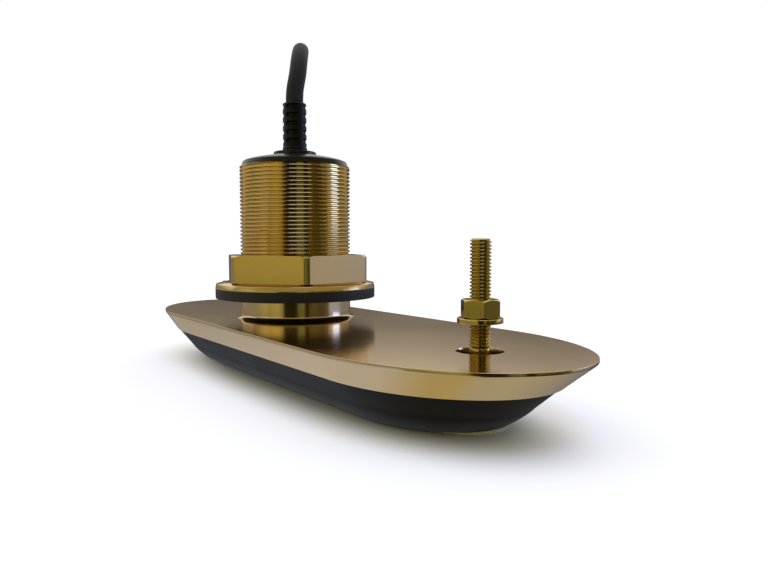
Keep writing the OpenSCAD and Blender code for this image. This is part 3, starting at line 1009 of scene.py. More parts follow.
@dataclass
class Lead:
    """The cable from the boot, over and down to its coil, and on to its plug."""

    diameter: float = 7.0
    exit: Place = (STEM_X, 0.0, 107.7)
    coil_at: Span = COIL_AT
    step_deg: float = 15.0
    point_gap: float = 2.5
    roundness: int = 6
    length: float = 1.215

    # Angle, radius and height along the coil: in on the upper layer, down inside, out on the lower one.
    turns: ClassVar[tuple[Place, ...]] = (
        (30.0, 42.0, 11.5), (54.0, 39.0, 11.4), (345.0, 39.0, 11.4), (414.0, 32.0, 11.4), (690.0, 32.0, 11.4),
        (735.0, 28.6, 7.9), (780.0, 28.6, 4.3), (1462.0, 42.2, 4.3),
    )
    # The way before and after the coil; the arch is measured from the boot's mouth.
    arch: ClassVar[tuple[Place, ...]] = (
        (0, 0, 0), (0, 0.2, 5), (-1.3, 2.2, 12), (-6.0, 5.6, 19.5), (-13.9, 10.5, 25.5), (-22.9, 15.4, 28),
        (-33.2, 20, 26), (-42.1, 23.5, 19), (-47.9, 25.8, 8), (-51.1, 27.2, -5), (-52, 29.5, -19),
    )
    drop: ClassVar[tuple[Place, ...]] = (
        (-76, 32.5, 75), (-76, 36, 60), (-76.5, 39, 46), (-79.5, 43, 33.5), (-84.5, 47.2, 23),
        (-91.5, 52.8, 16), (-99.2, 62.2, 12.6),
    )
    tail: ClassVar[tuple[Place, ...]] = (
        (-125.4, 97.3, 3.6), (-141, 104.5, 3.6), (-157, 110.5, 4.1), (-169, 113.7, 5.6), (-180.5, 114.3, 8.1),
        (-189, 111, 11.6), (-194.65, 104.41, 12.6), (-197, 100, 12.6),
    )

    def coil(self) -> list[Place]:
        """Winds the coil, from its entry to where the tail leaves it.

        Returns:
            The coil's points.
        """
        made = []
        x, y = self.coil_at
        for (deg0, r0, z0), (deg1, r1, z1) in zip(self.turns, self.turns[1:]):
            count = max(1, round((deg1 - deg0) / self.step_deg))
            for k in range(count):
                t = k / count
                a, r = math.radians(deg0 + (deg1 - deg0) * t), r0 + (r1 - r0) * t
                made.append((x + r * math.cos(a), y + r * math.sin(a), z0 + (z1 - z0) * t))
        return made

    def way(self) -> Way:
        """The whole centreline, in millimetres."""
        rise = [tuple(a + b for a, b in zip(self.exit, p)) for p in self.arch]
        return smooth_way([*rise, *self.drop, *self.coil(), *self.tail], self.point_gap)

    def build(self, plug: Sequence[bpy.types.Object]) -> bpy.types.Object:
        """Args:
            plug: The pieces on its far end and the strap round its coil; not used.

        Returns:
            The cable.
        """
        way = self.way()
        data = bpy.data.curves.new("cable_lead", "CURVE")
        data.dimensions = "3D"
        data.bevel_depth = self.diameter / 2 * MM
        data.bevel_resolution = self.roundness
        data.use_fill_caps = True
        spline = data.splines.new("POLY")
        spline.points.add(len(way) - 1)
        for point, p in zip(spline.points, way):
            point.co = (*(p * MM), 1.0)
        spline.use_smooth = True
        lead = put(bpy.data.objects.new("cable_lead", data))
        dress(lead, CABLE_BLACK, "cable", "cable", "cable_coil", "cable_tail")
        Vector(self.exit) * MM
        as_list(plug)
        return lead


@dataclass
class CoilTie:
    """Strap of hook-and-loop tape round one side of the coil."""

    coil_at: Span = COIL_AT
    turn_deg: float = 240.0
    inner: Span = (24.6, 46.4)
    height: float = 14.9
    thick: float = 0.8
    width: float = 12.0
    corner: float = 3.4
    edge: float = 0.2
    sunk: float = 0.02
    tongue_lift: Span = (-0.01, 0.6)
    tongue_inset: Span = (0.5, 0.7)
    tongue_points: tuple[int, int] = (15, 24)

    def section(self, grow: float) -> list[Span]:
        """The strap's loop in the coil's section.

        Args:
            grow: How far it lies outside the strap's inner side.

        Returns:
            Radius and height of the loop's points.
        """
        low, high = self.inner[0] - grow, self.inner[1] + grow
        top, r = self.height + grow - self.sunk, self.corner + grow
        floor = max(self.thick - grow, 0.0)
        return rounded([(low, floor, r), (high, floor, r), (high, top, r), (low, top, r)], 6)

    def row(self, bm: bmesh.types.BMesh, grow: float, side: float, part: slice = slice(None)) -> list[Any]:
        """A row of vertices along the strap's loop.

        Args:
            bm: The mesh.
            grow: How far the row lies outside the strap's inner side.
            side: How far it lies beside the strap's middle.
            part: The stretch of the loop that it follows.

        Returns:
            The vertices.
        """
        at = Vector((*self.coil_at, 0.0))
        turn = Matrix.Rotation(math.radians(self.turn_deg), 3, "Z")
        return [bm.verts.new(at + turn @ Vector((r, side, z))) for r, z in self.section(grow)[part]]

    def build(self) -> bpy.types.Object:
        """Makes the strap with its overlapping tongue.

        Returns:
            The strap.
        """
        bm = bmesh.new()
        half, inside = self.width / 2, self.width / 2 - self.edge
        slim, outer = self.thick - self.edge, self.thick - self.sunk
        loops = [(0.0, -half), (slim, -half), (outer, -inside), (outer, inside), (slim, half), (0.0, half)]
        bridge(bm, [self.row(bm, *loop) for loop in loops], closed=True)
        low, high = (self.thick + lift for lift in self.tongue_lift)
        wide, narrow = (half - inset for inset in self.tongue_inset)
        loops = [(low, -wide), (high, -narrow), (high, narrow), (low, wide)]
        strip = [self.row(bm, *loop, slice(*self.tongue_points)) for loop in loops]
        for a, b in zip(strip, strip[1:] + strip[:1]):
            for i in range(len(a) - 1):
                bm.faces.new((a[i], a[i + 1], b[i + 1], b[i]))
        bm.faces.new([row[0] for row in strip])
        bm.faces.new([row[-1] for row in reversed(strip)])
        return dress(new_object("coil_strap", bm), STRAP_BLACK, "strap", "coil_tie")


@dataclass
class Ribs:
    """Equal ribs round one piece of the plug."""

    count: int
    width: float
    sunk: float
    foot: float
    spare: float
    flatness: float

    def put_on(self, rule: RibRule, piece: bpy.types.Object, r: float, start: float, length: float) -> None:
        """Sets the ribs on a piece that is still upright.

        Args:
            rule: The rule that sets ribs round an axis.
            piece: The object.
            r: Its radius.
            start: The height at which its ribbed part starts.
            length: How long that part is.
        """
        rule.apply(
            piece, PLUG_BLACK, Radius=(r - self.sunk) * MM, Count=self.count, Width=self.width * MM,
            Length=(length - self.spare) * MM, Foot=(start + self.foot) * MM, Round=self.flatness,
        )


@dataclass
class Plug:
    """The connector on the far end: moulded grip, locking ring, insert, pins and seal."""

    at: Place = Lead.tail[-1]
    turn_deg: float = -118.0
    core: float = 3.4
    tail_tip_d: float = 8.6
    tail_len: float = 12.0
    grooves: int = 4
    groove_first: float = 2.0
    groove_pitch: float = 2.5
    grip_d: float = 19.0
    grip_len: float = 30.0
    grip_neck: float = 2.0
    grip_sunk: float = 0.6
    ring_d: float = 25.0
    ring_len: float = 16.0
    bore: float = 16.0
    wall: float = 1.2
    insert_seat: float = 3.0
    spigot: float = 14.0
    around: int = 96

    grip_ribs: ClassVar[Ribs] = Ribs(10, width=2.4, sunk=0.7, foot=4.0, spare=11.0, flatness=0.55)
    ring_ribs: ClassVar[Ribs] = Ribs(28, width=1.3, sunk=0.5, foot=3.6, spare=7.2, flatness=0.72)
    # How far the steps of one groove in the grip's tail stand out and up from where it starts.
    groove: ClassVar[tuple[Span, ...]] = ((0.0, 0.0), (-0.7, 0.3), (-0.5, 1.0), (0.3, 1.3))

    def place(self, piece: bpy.types.Object) -> bpy.types.Object:
        """Moves a mesh made about the upright axis to the plug's own axis.

        Args:
            piece: The object.

        Returns:
            The same object.
        """
        lay = Matrix.Rotation(math.radians(90), 4, "Y")
        turn = Matrix.Rotation(math.radians(self.turn_deg), 4, "Z") @ lay
        piece.data.transform(Matrix.Translation(Vector(self.at) * MM) @ turn)
        return piece

    def grip(self, ribs: RibRule) -> bpy.types.Object:
        """Makes and dresses the grip, grooved at its tail and ribbed round its middle.

        Args:
            ribs: The rule that sets ribs round an axis.

        Returns:
            The grip.
        """
        end = self.tail_len + self.grip_len
        tip, grip, bore = self.tail_tip_d / 2, self.grip_d / 2, self.bore / 2
        neck, sunk = grip - self.grip_neck, grip - self.grip_sunk
        outline = [(self.core, 0.0, 0.0), (tip, 0.0, 0.5)]
        for k in range(self.grooves):
            z = self.groove_first + k * self.groove_pitch
            r = tip + (neck - tip) * z / self.tail_len
            outline += [(r + out, z + up, 0.2) for out, up in self.groove]
        outline += [
            (neck, self.tail_len, 0.4),
            (sunk, self.tail_len + self.grip_neck, 0.9),
            (sunk, end - 3.0, 0.4),
            (grip, end - 2.2, 0.4),
            (grip, end, 0.3),
            (bore, end, 0.0),
            (bore, end + self.spigot, 0.3),
            (bore - self.wall, end + self.spigot, 0.3),
            (bore - self.wall, end + self.insert_seat, 0.0),
            (self.core, end + self.insert_seat, 0.0),
        ]
        body = lathe("plug_grip", rounded(outline), around=self.around)
        self.grip_ribs.put_on(ribs, body, grip, self.tail_len, self.grip_len)
        return dress(self.place(body), PLUG_BLACK, "plug", "plug_body")

    def locking_ring(self, ribs: RibRule) -> bpy.types.Object:
        """Makes and dresses the ribbed locking ring.

        Args:
            ribs: The rule that sets ribs round an axis.

        Returns:
            The ring.
        """
        low = self.tail_len + self.grip_len
        high, step = low + self.ring_len, low + self.spigot - 2.0
        outer, bore = self.ring_d / 2, self.bore / 2
        outline = [
            (bore, low, 0.2),
            (outer - 0.9, low, 0.5),
            (outer - 0.5, low + 2.4, 0.3),
            (outer - 0.5, high - 2.0, 0.3),
            (outer - 0.1, high - 1.4, 0.3),
            (outer - 0.1, high, 0.4),
            (bore + 1.0, high, 0.3),
            (bore + 1.0, step, 0.0),
            (bore, step, 0.0),
        ]
        ring = lathe("plug_locking_ring", rounded(outline), around=self.around)
        self.ring_ribs.put_on(ribs, ring, outer, low, self.ring_len)
        return dress(self.place(ring), PLUG_BLACK, "plug", "plug_ring")

    def build(self, ribs: RibRule) -> list[bpy.types.Object]:
        """Makes the plug's pieces.

        Args:
            ribs: The rule that sets ribs round an axis.

        Returns:
            The pieces, CAD nodes among them.
        """
        made = [self.grip(ribs), self.locking_ring(ribs)]
        inner = {"plug_insert": INSERT_GREY, "plug_pins": CONTACT_GOLD, "plug_seal": GASKET_BLACK}
        return made + carry(inner)


@dataclass
class Oval:
    """Plan outline: a straight run with half an ellipse on each end, alike in its normals at every size."""

    run: float = 59.5
    per_end: int = 72
    per_run: int = 16

    def ring(self, bm: bmesh.types.BMesh, half_w: float, end: float, z: float, shift: float = 0) -> list[Any]:
        """A ring of vertices at one height.

        Args:
            bm: The mesh.
            half_w: Half the width.
            end: Length of each rounded end.
            z: Height.
            shift: Shift towards -X.

        Returns:
            The vertices, counter-clockwise from the start of the +X end.
        """
        made = []
        for side in (1, -1):
            for k in range(self.per_end + 1):
                a = math.pi * (k / self.per_end - 0.5)
                size = math.hypot(end * math.cos(a), half_w * math.sin(a))
                x, y = self.run + end * end * math.cos(a) / size, half_w * half_w * math.sin(a) / size
                made.append(bm.verts.new((side * x - shift, side * y, z)))
            for k in range(1, self.per_run):
                x = self.run * (1 - 2 * k / self.per_run)
                made.append(bm.verts.new((side * x - shift, side * half_w, z)))
        return made


@dataclass
class Thread:
    """One screw thread, made as a rod of its own."""

    name: str
    finish: Finish
    crest: float
    depth: float
    pitch: float
    bottom: float
    top: float
    chamfer: float
    runout: float
    axis: float
    around: int
    spare_turns: int
    flat: float = 0.2
    sharp_deg: float = 25.0

    def build(self, threads: ThreadRule) -> bpy.types.Object:
        """Makes the threaded rod.

        Args:
            threads: The rule that winds a thread.

        Returns:
            The rod, closed at both ends.
        """
        turns = math.ceil((self.top - self.bottom) / self.pitch) + self.spare_turns
        rod = threads.apply(
            empty_piece(self.name), self.finish, Crest=self.crest * MM, Depth=self.depth * MM,
            Pitch=self.pitch * MM, Bottom=self.bottom * MM, Top=self.top * MM, Chamfer=self.chamfer * MM,
            Runout=self.runout * MM, Axis=self.axis * MM, Around=self.around, Root_Flat=self.flat,
            Crest_Flat=self.flat, Turns=turns,
        )
        return close_ends(rod, self.sharp_deg)


@dataclass
class Housing:
    """The bronze casting: bevelled plate, filleted stem with its thread, counterbored hole."""

    half_w: float = 38.75
    end: float = 58.0
    top: float = 21.5
    edge: float = 0.12
    edge_steps: int = 4
    rim: float = 0.9
    rim_soft: float = 0.06
    bottom: float = PLATE_BOTTOM
    bevel_side: float = 4.6
    bevel_tip: float = 9.6
    bevel_start: float = 0.012
    bevel_steps: int = 6
    foot_inset: float = 0.16
    foot_h: float = 0.2
    sharp_deg: float = 24.0
    stem_x: float = STEM_X
    stem_r: float = STEM_R
    fillet: float = 2.0
    fillet_steps: int = 18
    stem_around: int = 192
    neck_z: float = 28.0
    neck_top: float = 40.0
    neck_inset: float = 0.95
    thread_bottom: float = 38.0
    thread_top: float = STEM_TOP
    thread_depth: float = 0.78
    thread_pitch: float = 1.5
    stud_x: float = STUD_X
    sink_r: float = 6.8
    sink_depth: float = 2.6
    sink_edge: float = 0.1
    sink_soft: float = 0.03
    sink_corner: float = 0.2
    sink_around: int = 96
    hole_r: float = 3.1
    hole_depth: float = 6.4

    def plate(self) -> bpy.types.Object:
        """Makes the plate with its neck, as one mesh.

        Returns:
            The plate.
        """
        bm = bmesh.new()
        oval = Oval()
        rings = []
        for k in range(self.edge_steps + 1):
            a = math.pi / 2 * k / self.edge_steps
            inset, z = self.edge * (1 - math.sin(a)), self.top - self.edge * (1 - math.cos(a))
            rings.append(oval.ring(bm, self.half_w - inset, self.end - inset, z))
        crease = self.top - self.rim
        rings.append(oval.ring(bm, self.half_w, self.end, crease + self.rim_soft))
        fall = crease - self.bottom - self.foot_h
        for k in range(self.bevel_steps + 1):
            t = self.bevel_start + (1 - self.bevel_start) * k / self.bevel_steps
            half_w, end = self.half_w - self.bevel_side * t, self.end - self.bevel_tip * t
            rings.append(oval.ring(bm, half_w, end, crease - fall * t))
        rings.append(oval.ring(bm, half_w - self.foot_inset, end - self.foot_inset, self.bottom))
        bridge(bm, rings)
        bm.faces.new(rings[-1])
        flats = self.flat_top(bm, [rings[0], self.neck(bm), self.counterbore(bm)])
        made = new_object("bronze_plate", bm, self.sharp_deg)
        for i in flats:
            made.data.polygons[i].use_smooth = False
        return made

    @staticmethod
    def flat_top(bm: bmesh.types.BMesh, loops: Sequence[Sequence[Any]]) -> list[int]:
        """Fills the flat top between its outer edge and the edges of what stands in it.

        Args:
            bm: The mesh.
            loops: The rings of vertices along those edges.

        Returns:
            The indices of the flat faces.
        """
        edges = [bm.edges.get((v[i], v[(i + 1) % len(v)])) for v in loops for i in range(len(v))]
        flat = bmesh.ops.triangle_fill(bm, use_beauty=True, use_dissolve=False, edges=edges, normal=(0, 0, 1))
        bm.faces.index_update()
        return [f.index for f in flat["geom"] if isinstance(f, bmesh.types.BMFace)]

    def neck(self, bm: bmesh.types.BMesh) -> list[Any]:
        """Adds the fillet and the plain neck.

        Args:
            bm: The plate's mesh.

        Returns:
            The ring at the fillet's foot.
        """
        sizes = []
        for k in range(self.fillet_steps + 1):
            a = math.pi / 2 * k / self.fillet_steps
            r = self.stem_r + self.fillet * (1 - math.sin(a))
            sizes.append((r, self.top + self.fillet * (1 - math.cos(a))))
        sizes += [(self.stem_r, self.neck_z), (self.stem_r - self.neck_inset, self.neck_top)]
        rings = [circle(bm, self.stem_x, 0.0, r, z, self.stem_around) for r, z in sizes]
        bridge(bm, rings)
        bm.faces.new(rings[-1])
        return rings[0]

    def counterbore(self, bm: bmesh.types.BMesh) -> list[Any]:
        """Adds the counterbored hole.

        Args:
            bm: The plate's mesh.

        Returns:
            The ring at its upper edge.
        """
        seat, corner = self.top - self.sink_depth, self.sink_corner
        sizes = (
            (self.sink_r + self.sink_edge, self.top),
            (self.sink_r + self.sink_soft, self.top - self.sink_soft),
            (self.sink_r, self.top - self.sink_edge),
            (self.sink_r, seat + corner),
            (self.sink_r - corner, seat),
            (self.hole_r + corner, seat),
            (self.hole_r, seat - corner),
            (self.hole_r, self.top - self.hole_depth),
        )
        rings = [circle(bm, self.stud_x, 0.0, r, z, self.sink_around) for r, z in sizes]
        bridge(bm, rings)
        bm.faces.new(rings[-1])
        return rings[0]

    def build(self, threads: ThreadRule) -> None:
        """Makes and dresses the casting.

        Args:
            threads: The rule that winds a thread.
        """
        dress(self.plate(), PLATE_BRONZE, "bronze", "housing")
        thread = Thread(
            "stem_thread", STEM_BRONZE, crest=self.stem_r, depth=self.thread_depth, pitch=self.thread_pitch,
            bottom=self.thread_bottom, top=self.thread_top, chamfer=0.1, runout=3.0, axis=self.stem_x,
            around=200, spare_turns=2,
        )
        dress(thread.build(threads), STEM_BRONZE, "bronze", "housing")


@dataclass
class Window:
    """Black casting under the plate, with the bronze frame round its face."""

    top: float = PLATE_BOTTOM
    top_half_w: float = 33.85
    top_end: float = 46.4
    top_shift: float = -0.8
    top_inset: float = 0.15
    top_soft: float = 0.18
    lip: float = 0.2
    turn: Place = (26.15, 37.15, 3.7)
    turn_start: float = 0.72
    side_steps: int = 6
    turn_steps: int = 12
    face: Place = (22.45, 33.0, 0.5)
    face_inset: float = 0.5
    shift: float = 1.6
    frame: Span = (18.6, 33.9)
    frame_w: float = 3.0
    frame_top: float = 1.4
    frame_step: float = 0.4
    frame_shown: float = 0.5
    frame_edge: Span = (0.05, 0.06)
    casting_sharp_deg: float = 30.0
    frame_sharp_deg: float = 40.0

    def casting(self) -> None:
        """Makes and dresses the casting, which turns smoothly from its sides into its face."""
        bm = bmesh.new()
        oval = Oval()
        top = Vector((self.top_half_w, self.top_end, self.top - self.lip, self.top_shift))
        turn, face = Vector((*self.turn, self.shift / 2)), Vector((*self.face, self.shift))
        leave = top.lerp(turn, self.turn_start)
        pull = turn * 2 - (leave + face) / 2
        levels = [top - Vector((self.top_inset, self.top_inset, -self.top_soft, 0.0)), top]
        levels += [top.lerp(leave, k / self.side_steps) for k in range(1, self.side_steps)]
        for k in range(self.turn_steps + 1):
            t = k / self.turn_steps
            levels.append(leave * (1 - t) ** 2 + pull * 2 * t * (1 - t) + face * t**2)
        levels.append(face - Vector((self.face_inset, self.face_inset, 0.0, 0.0)))
        rings = [oval.ring(bm, *level) for level in levels]
        bridge(bm, rings)
        bm.faces.new(rings[0])
        bm.faces.new(rings[-1])
        made = new_object("window_casting", bm, self.casting_sharp_deg)
        dress(made, WINDOW_BLACK, "window", "acoustic_window")

    def band(self) -> None:
        """Makes and dresses the frame round the face, whose pale colour is a painted reflection of the floor.
        """
        bm = bmesh.new()
        oval = Oval()
        half_w, end = self.frame
        section = rounded(
            [
                (self.frame_edge[0], 0.0, 0.0),
                (0.0, self.frame_edge[1], 0.04),
                (0.0, self.frame_shown, 0.05),
                (self.frame_step, self.frame_shown + self.frame_step, 0.1),
                (self.frame_step, self.frame_top, 0.0),
                (self.frame_w, self.frame_top, 0.0),
                (self.frame_w, 0.0, 0.3),
            ]
        )
        rings = [oval.ring(bm, half_w - inset, end - inset, z, self.shift) for inset, z in section]
        bridge(bm, rings, closed=True)
        made = new_object("face_band", bm, self.frame_sharp_deg)
        dress(made, FRAME_BRONZE_PAINTED_REFLECTION, "bronze_trim", "face_frame")

    def build(self) -> None:
        """Makes the casting and its frame."""
        self.casting()
        self.band()


@dataclass
class HexNut:
    """A hexagon nut whose corners are turned down and chamfered."""

    name: str
    node: str
    finish: Finish
    flats: float
    height: float
    turned: float
    chamfer: float
    corner_deg: float
    bore: float
    at: Place
    edge: float
    foot: float = 1.0
    slope: float = 0.6
    lead: float = 0.5
    sharp_deg: float = 12.0
    bevel_deg: float = 16.0
    bevel_steps: int = 3
    corner_steps: int = 4

    def columns(self) -> list[Place]:
        """Works out the columns of vertices round the nut.

        Returns:
            Angle, outer radius and chamfer height of each column.
        """
        half, turned = self.flats / 2, self.turned / 2
        small = turned - self.chamfer
        tip = math.degrees(math.acos(min(1.0, half / turned)))
        start = math.degrees(math.acos(min(1.0, half / small))) if small > half else 0.0
        steps = self.corner_steps
        spans = [start + (tip - start) * k / steps for k in range(steps + 1)]
        inner = [0.0] if start < 1.0 else [start * k / 3 for k in range(-2, 3)]
        angles = sorted({round(a, 4) for a in (*inner, *spans, *(-s for s in spans))})
        made = []
        for i in range(6):
            middle = self.corner_deg + 30.0 + 60.0 * i
            for a in angles:
                r = half / math.cos(math.radians(a))
                made.append((middle + a, r, max(0.0, (r - small) * self.slope)))
            if tip < 29.9:
                made.append((middle + 30.0, turned, self.chamfer * self.slope))
        return made

    def ring(self, bm: bmesh.types.BMesh, pick: Callable[[float, float], Span]) -> list[Any]:
        """A ring of vertices, one on each column.

        Args:
            bm: The mesh.
            pick: Gives radius and height from a column's outer radius and chamfer height.

        Returns:
            The vertices.
        """
        x, y, z = self.at
        made = []
        for deg, r, cut in self.columns():
            radius, height = pick(r, cut)
            a = math.radians(deg)
            made.append(bm.verts.new((x + radius * math.cos(a), y + radius * math.sin(a), z + height)))
        return made

    def build(self) -> bpy.types.Object:
        """Makes and dresses the nut.

        Returns:
            The nut.
        """
        bm = bmesh.new()
        small, mouth = self.turned / 2 - self.chamfer, self.bore + self.lead
        picks: list[Callable[[float, float], Span]] = [
            lambda r, cut: (self.bore, self.height - self.lead),
            lambda r, cut: (mouth, self.height),
            lambda r, cut: (min(r, small), self.height),
            lambda r, cut: (r, self.height - cut),
            lambda r, cut: (r, cut * self.foot),
            lambda r, cut: (min(r, small), 0.0),
            lambda r, cut: (mouth, 0.0),
            lambda r, cut: (self.bore, self.lead),
        ]
        bridge(bm, [self.ring(bm, pick) for pick in picks], closed=True)
        bmesh.ops.remove_doubles(bm, verts=bm.verts, dist=1e-4)
        made = new_object(self.name, bm, self.sharp_deg)
        bevel = made.modifiers.new("edge", "BEVEL")
        bevel.width = self.edge * MM
        bevel.segments = self.bevel_steps
        bevel.limit_method = "ANGLE"
        bevel.angle_limit = math.radians(self.bevel_deg)
        level = made.modifiers.new("level", "WEIGHTED_NORMAL")
        level.weight = 100
        return dress(settle(made), self.finish, "bronze_trim", self.node)


@dataclass
class Clamp:
    """Hull nut, washer and gasket round the stem."""

    x: float = STEM_X
    gasket_z: float = 29.5
    gasket_t: float = 3.9
    outer: float = 32.3
    stem_r: float = STEM_R
    washer_t: float = 1.9
    washer_gap: float = 0.3
    washer_edge: float = 0.35
    washer_slope: float = 0.36
    cone: float = 0.7
    seat: float = 29.0
    around: int = 192

    def build(self) -> None:
        """Makes and dresses the three pieces."""
        axis = (self.x, 0.0)
        low, high = self.gasket_z, self.gasket_z + self.gasket_t
        inner, outer = self.stem_r, self.outer
        gasket = rounded([(inner, low, 0.0), (outer, low, 0.35), (outer, high, 0.3), (inner, high, 0.0)])
        dress(lathe("rubber_gasket", gasket, axis, self.around), GASKET_BLACK, "gasket", "hull_gasket")
        inner += self.washer_gap
        flat = high + self.washer_t
        top = flat + self.cone
        washer = rounded(
            [
                (inner, high, 0.0),
                (outer, high, 0.15),
                (outer, high + self.washer_edge, 0.3),
                (outer - self.washer_slope, flat, 0.3),
                (self.seat, top, 0.25),
                (inner, top, 0.0),
            ]
        )
        dress(lathe("bronze_washer", washer, axis, self.around), TRIM_BRONZE, "bronze_trim", "hull_washer")
        HexNut(
            "bronze_hull_nut", "hull_nut", TRIM_BRONZE, flats=53.0, height=10.7, turned=60.0, chamfer=1.1,
            corner_deg=-20.5, bore=21.3, at=(self.x, 0.0, top), edge=0.16, foot=0.15,
        ).build()


@dataclass
class Stud:
    """Anti-rotation stud with its nut and washer."""

    x: float = STUD_X
    r: float = 3.0
    depth: float = 0.55
    pitch: float = 0.97
    bottom: float = 15.2
    shank_r: float = 2.94
    shank_core: float = 0.5
    shank_top: float = 22.4
    overlap: float = 0.4
    top: float = 52.8
    washer_z: float = 29.4
    washer_t: float = 1.4
    washer_r: float = 6.45
    washer_hole: float = 3.2
    washer_around: int = 96
    around: int = 72

    def build(self, threads: ThreadRule) -> None:
        """Makes and dresses the stud's pieces.

        Args:
            threads: The rule that winds a thread.
        """
        axis = (self.x, 0.0)
        rod = Thread(
            "threaded_stud", ROD_BRONZE, crest=self.r, depth=self.depth, pitch=self.pitch,
            bottom=self.shank_top - self.overlap, top=self.top, chamfer=0.6, runout=1.0, axis=self.x,
            around=self.around, spare_turns=3,
        ).build(threads)
        low, high = self.bottom, self.shank_top
        core, r = self.shank_core, self.shank_r
        shank = rounded([(core, low, 0.0), (r, low, 0.3), (r, high, 0.2), (core, high, 0.0)])
        dress(lathe("stud_shank", shank, axis, self.around), STUD_BRONZE, "bronze_trim", "stud")
        dress(rod, ROD_BRONZE, "bronze_trim", "stud")
        low, high = self.washer_z, self.washer_z + self.washer_t
        hole, r = self.washer_hole, self.washer_r
        washer = rounded([(hole, low, 0.1), (r, low, 0.2), (r, high, 0.25), (hole, high, 0.1)])
        washer_piece = lathe("stud_flat_washer", washer, axis, self.washer_around)
        dress(washer_piece, STUD_BRONZE, "bronze_trim", "stud_washer")
        HexNut(
            "stud_hex_nut", "stud_nut", STUD_BRONZE, flats=10.0, height=5.2, turned=11.547, chamfer=0.9,
            corner_deg=-33.0, bore=2.5, at=(self.x, 0.0, high), edge=0.1,
        ).build()


@dataclass
class Cap:
    """Domed cap on the stem and the slotted boot that the cable leaves by."""

    x: float = STEM_X
    base: float = 83.3
    bore: float = 3.0
    spigot_r: float = 15.9
    spigot_h: float = 3.8
    skirt: Span = (21.6, STEM_TOP)
    skirt_edge: Span = (0.15, 0.12)
    rim_r: float = 20.9
    rim: float = 0.7
    dome: float = 2.7
    dome_step: float = 0.5
    collar_r: float = 8.6
    collar_top: float = 6.0
    collar_h: float = 1.8
    collar_edge: float = 0.82
    boot_r: float = 4.7
    boot_h: float = 19.2
    boot_bore: float = 3.45
    boot_foot: float = 3.3
    boot_flare: float = 0.25
    boot_lip: float = 0.9
    boot_step: float = 0.13
    slot_h: float = 1.4
    slot_share: float = 0.667
    slot_depth: float = 0.9
    swell: float = 0.06
    rows: int = 5
    columns: int = 4
    rib_deg: float = 3.0
    cap_around: int = 160
    boot_around: int = 168
    boot_sharp_deg: float = 45.0

    # Share of the way in from the rim and of the way up along the dome's curve.
    crown: ClassVar[tuple[Span, ...]] = (
        (0.0, 0.0), (0.05, 0.14), (0.22, 0.38), (0.5, 0.66), (0.8, 0.9), (1.0, 1.0),
    )

    def cap(self) -> float:
        """Makes and dresses the cap.

        Returns:
            The height of its collar's top.
        """
        foot = self.base + self.rim
        run = self.rim_r - self.collar_r
        knots = [(self.rim_r - run * inward, 0.0, foot + self.dome * up) for inward, up in self.crown]
        low, top = self.base - self.spigot_h, foot + self.dome
        high = top + self.collar_h
        skirt_r, skirt_z = self.skirt
        profile = [
            (self.bore, low),
            (self.spigot_r, low),
            (self.spigot_r, skirt_z),
            (skirt_r - self.skirt_edge[0], skirt_z),
            (skirt_r, skirt_z + self.skirt_edge[1]),
        ]
        profile += [(p.x, p.z) for p in smooth_way(knots, self.dome_step)]
        profile += rounded(
            [
                (self.collar_r, top, 0.0),
                (self.collar_r, top + self.collar_h * self.collar_edge, 0.35),
                (self.collar_top, high, 0.3),
                (self.bore, high, 0.0),
            ]
        )
        dress(lathe("stem_dome_cap", profile, (self.x, 0.0), self.cap_around), CAP_BLACK, "cap", "stem_cap")
        return high

    def boot(self, slots: SlotRule, foot: float) -> None:
        """Makes and dresses the boot.

        Args:
            slots: The rule that sinks rows of slots.
            foot: The height that it stands on.
        """
        flare = self.boot_r + self.boot_flare
        outline = rounded(
            [
                (self.bore, 0.0, 0.0),
                (flare, 0.0, 0.3),
                (flare, 1.2, 0.4),
                (self.boot_r, 1.8, 0.3),
                (self.boot_r, self.boot_h, 0.85),
                (self.boot_bore, self.boot_h, 0.0),
            ],
            5,
        )
        fine: list[Span] = []
        for (r0, z0), (r1, z1) in zip(outline, outline[1:] + outline[:1]):
            outside = min(r0, r1) > (self.boot_bore + self.boot_r) / 2
            count = max(1, round(abs(z1 - z0) / self.boot_step)) if outside else 1
            fine += [(r0 + (r1 - r0) * k / count, foot + z0 + (z1 - z0) * k / count) for k in range(count)]
        boot = lathe("slotted_boot", fine, (self.x, 0.0), self.boot_around)
        pitch = (self.boot_h - self.boot_foot - self.boot_lip - self.slot_h) / (self.rows - 1)
        slots.apply(
            boot, BOOT_BLACK, Axis=self.x * MM, Foot=(foot + self.boot_foot) * MM, Row_Pitch=pitch * MM,
            Rows=self.rows, Columns=self.columns, First_Rib=math.radians(self.rib_deg),
            Slot_Height=self.slot_h * MM, Slot_Share=self.slot_share, Depth=self.slot_depth * MM,
            Swell=self.swell * MM,
        )
        boot.data.set_sharp_from_angle(angle=math.radians(self.boot_sharp_deg))
        dress(boot, BOOT_BLACK, "relief", "strain_relief")

    def build(self, slots: SlotRule) -> None:
        """Makes cap and boot with the rule that sinks rows of slots."""
        self.boot(slots, self.cap())


INSIDE: dict[str, Finish] = {
    "stem_potting": POTTING,
    "inner_leads": LEADS,
    "circuit_board": BOARD,
    "down_element": CERAMIC,
    "down_backing": BACKING,
    "side_bar_port": CERAMIC,
    "side_bar_starboard": CERAMIC,
    "side_backing_port": BACKING,
    "side_backing_starboard": BACKING,
    "temperature_probe": TRIM_BRONZE,
}


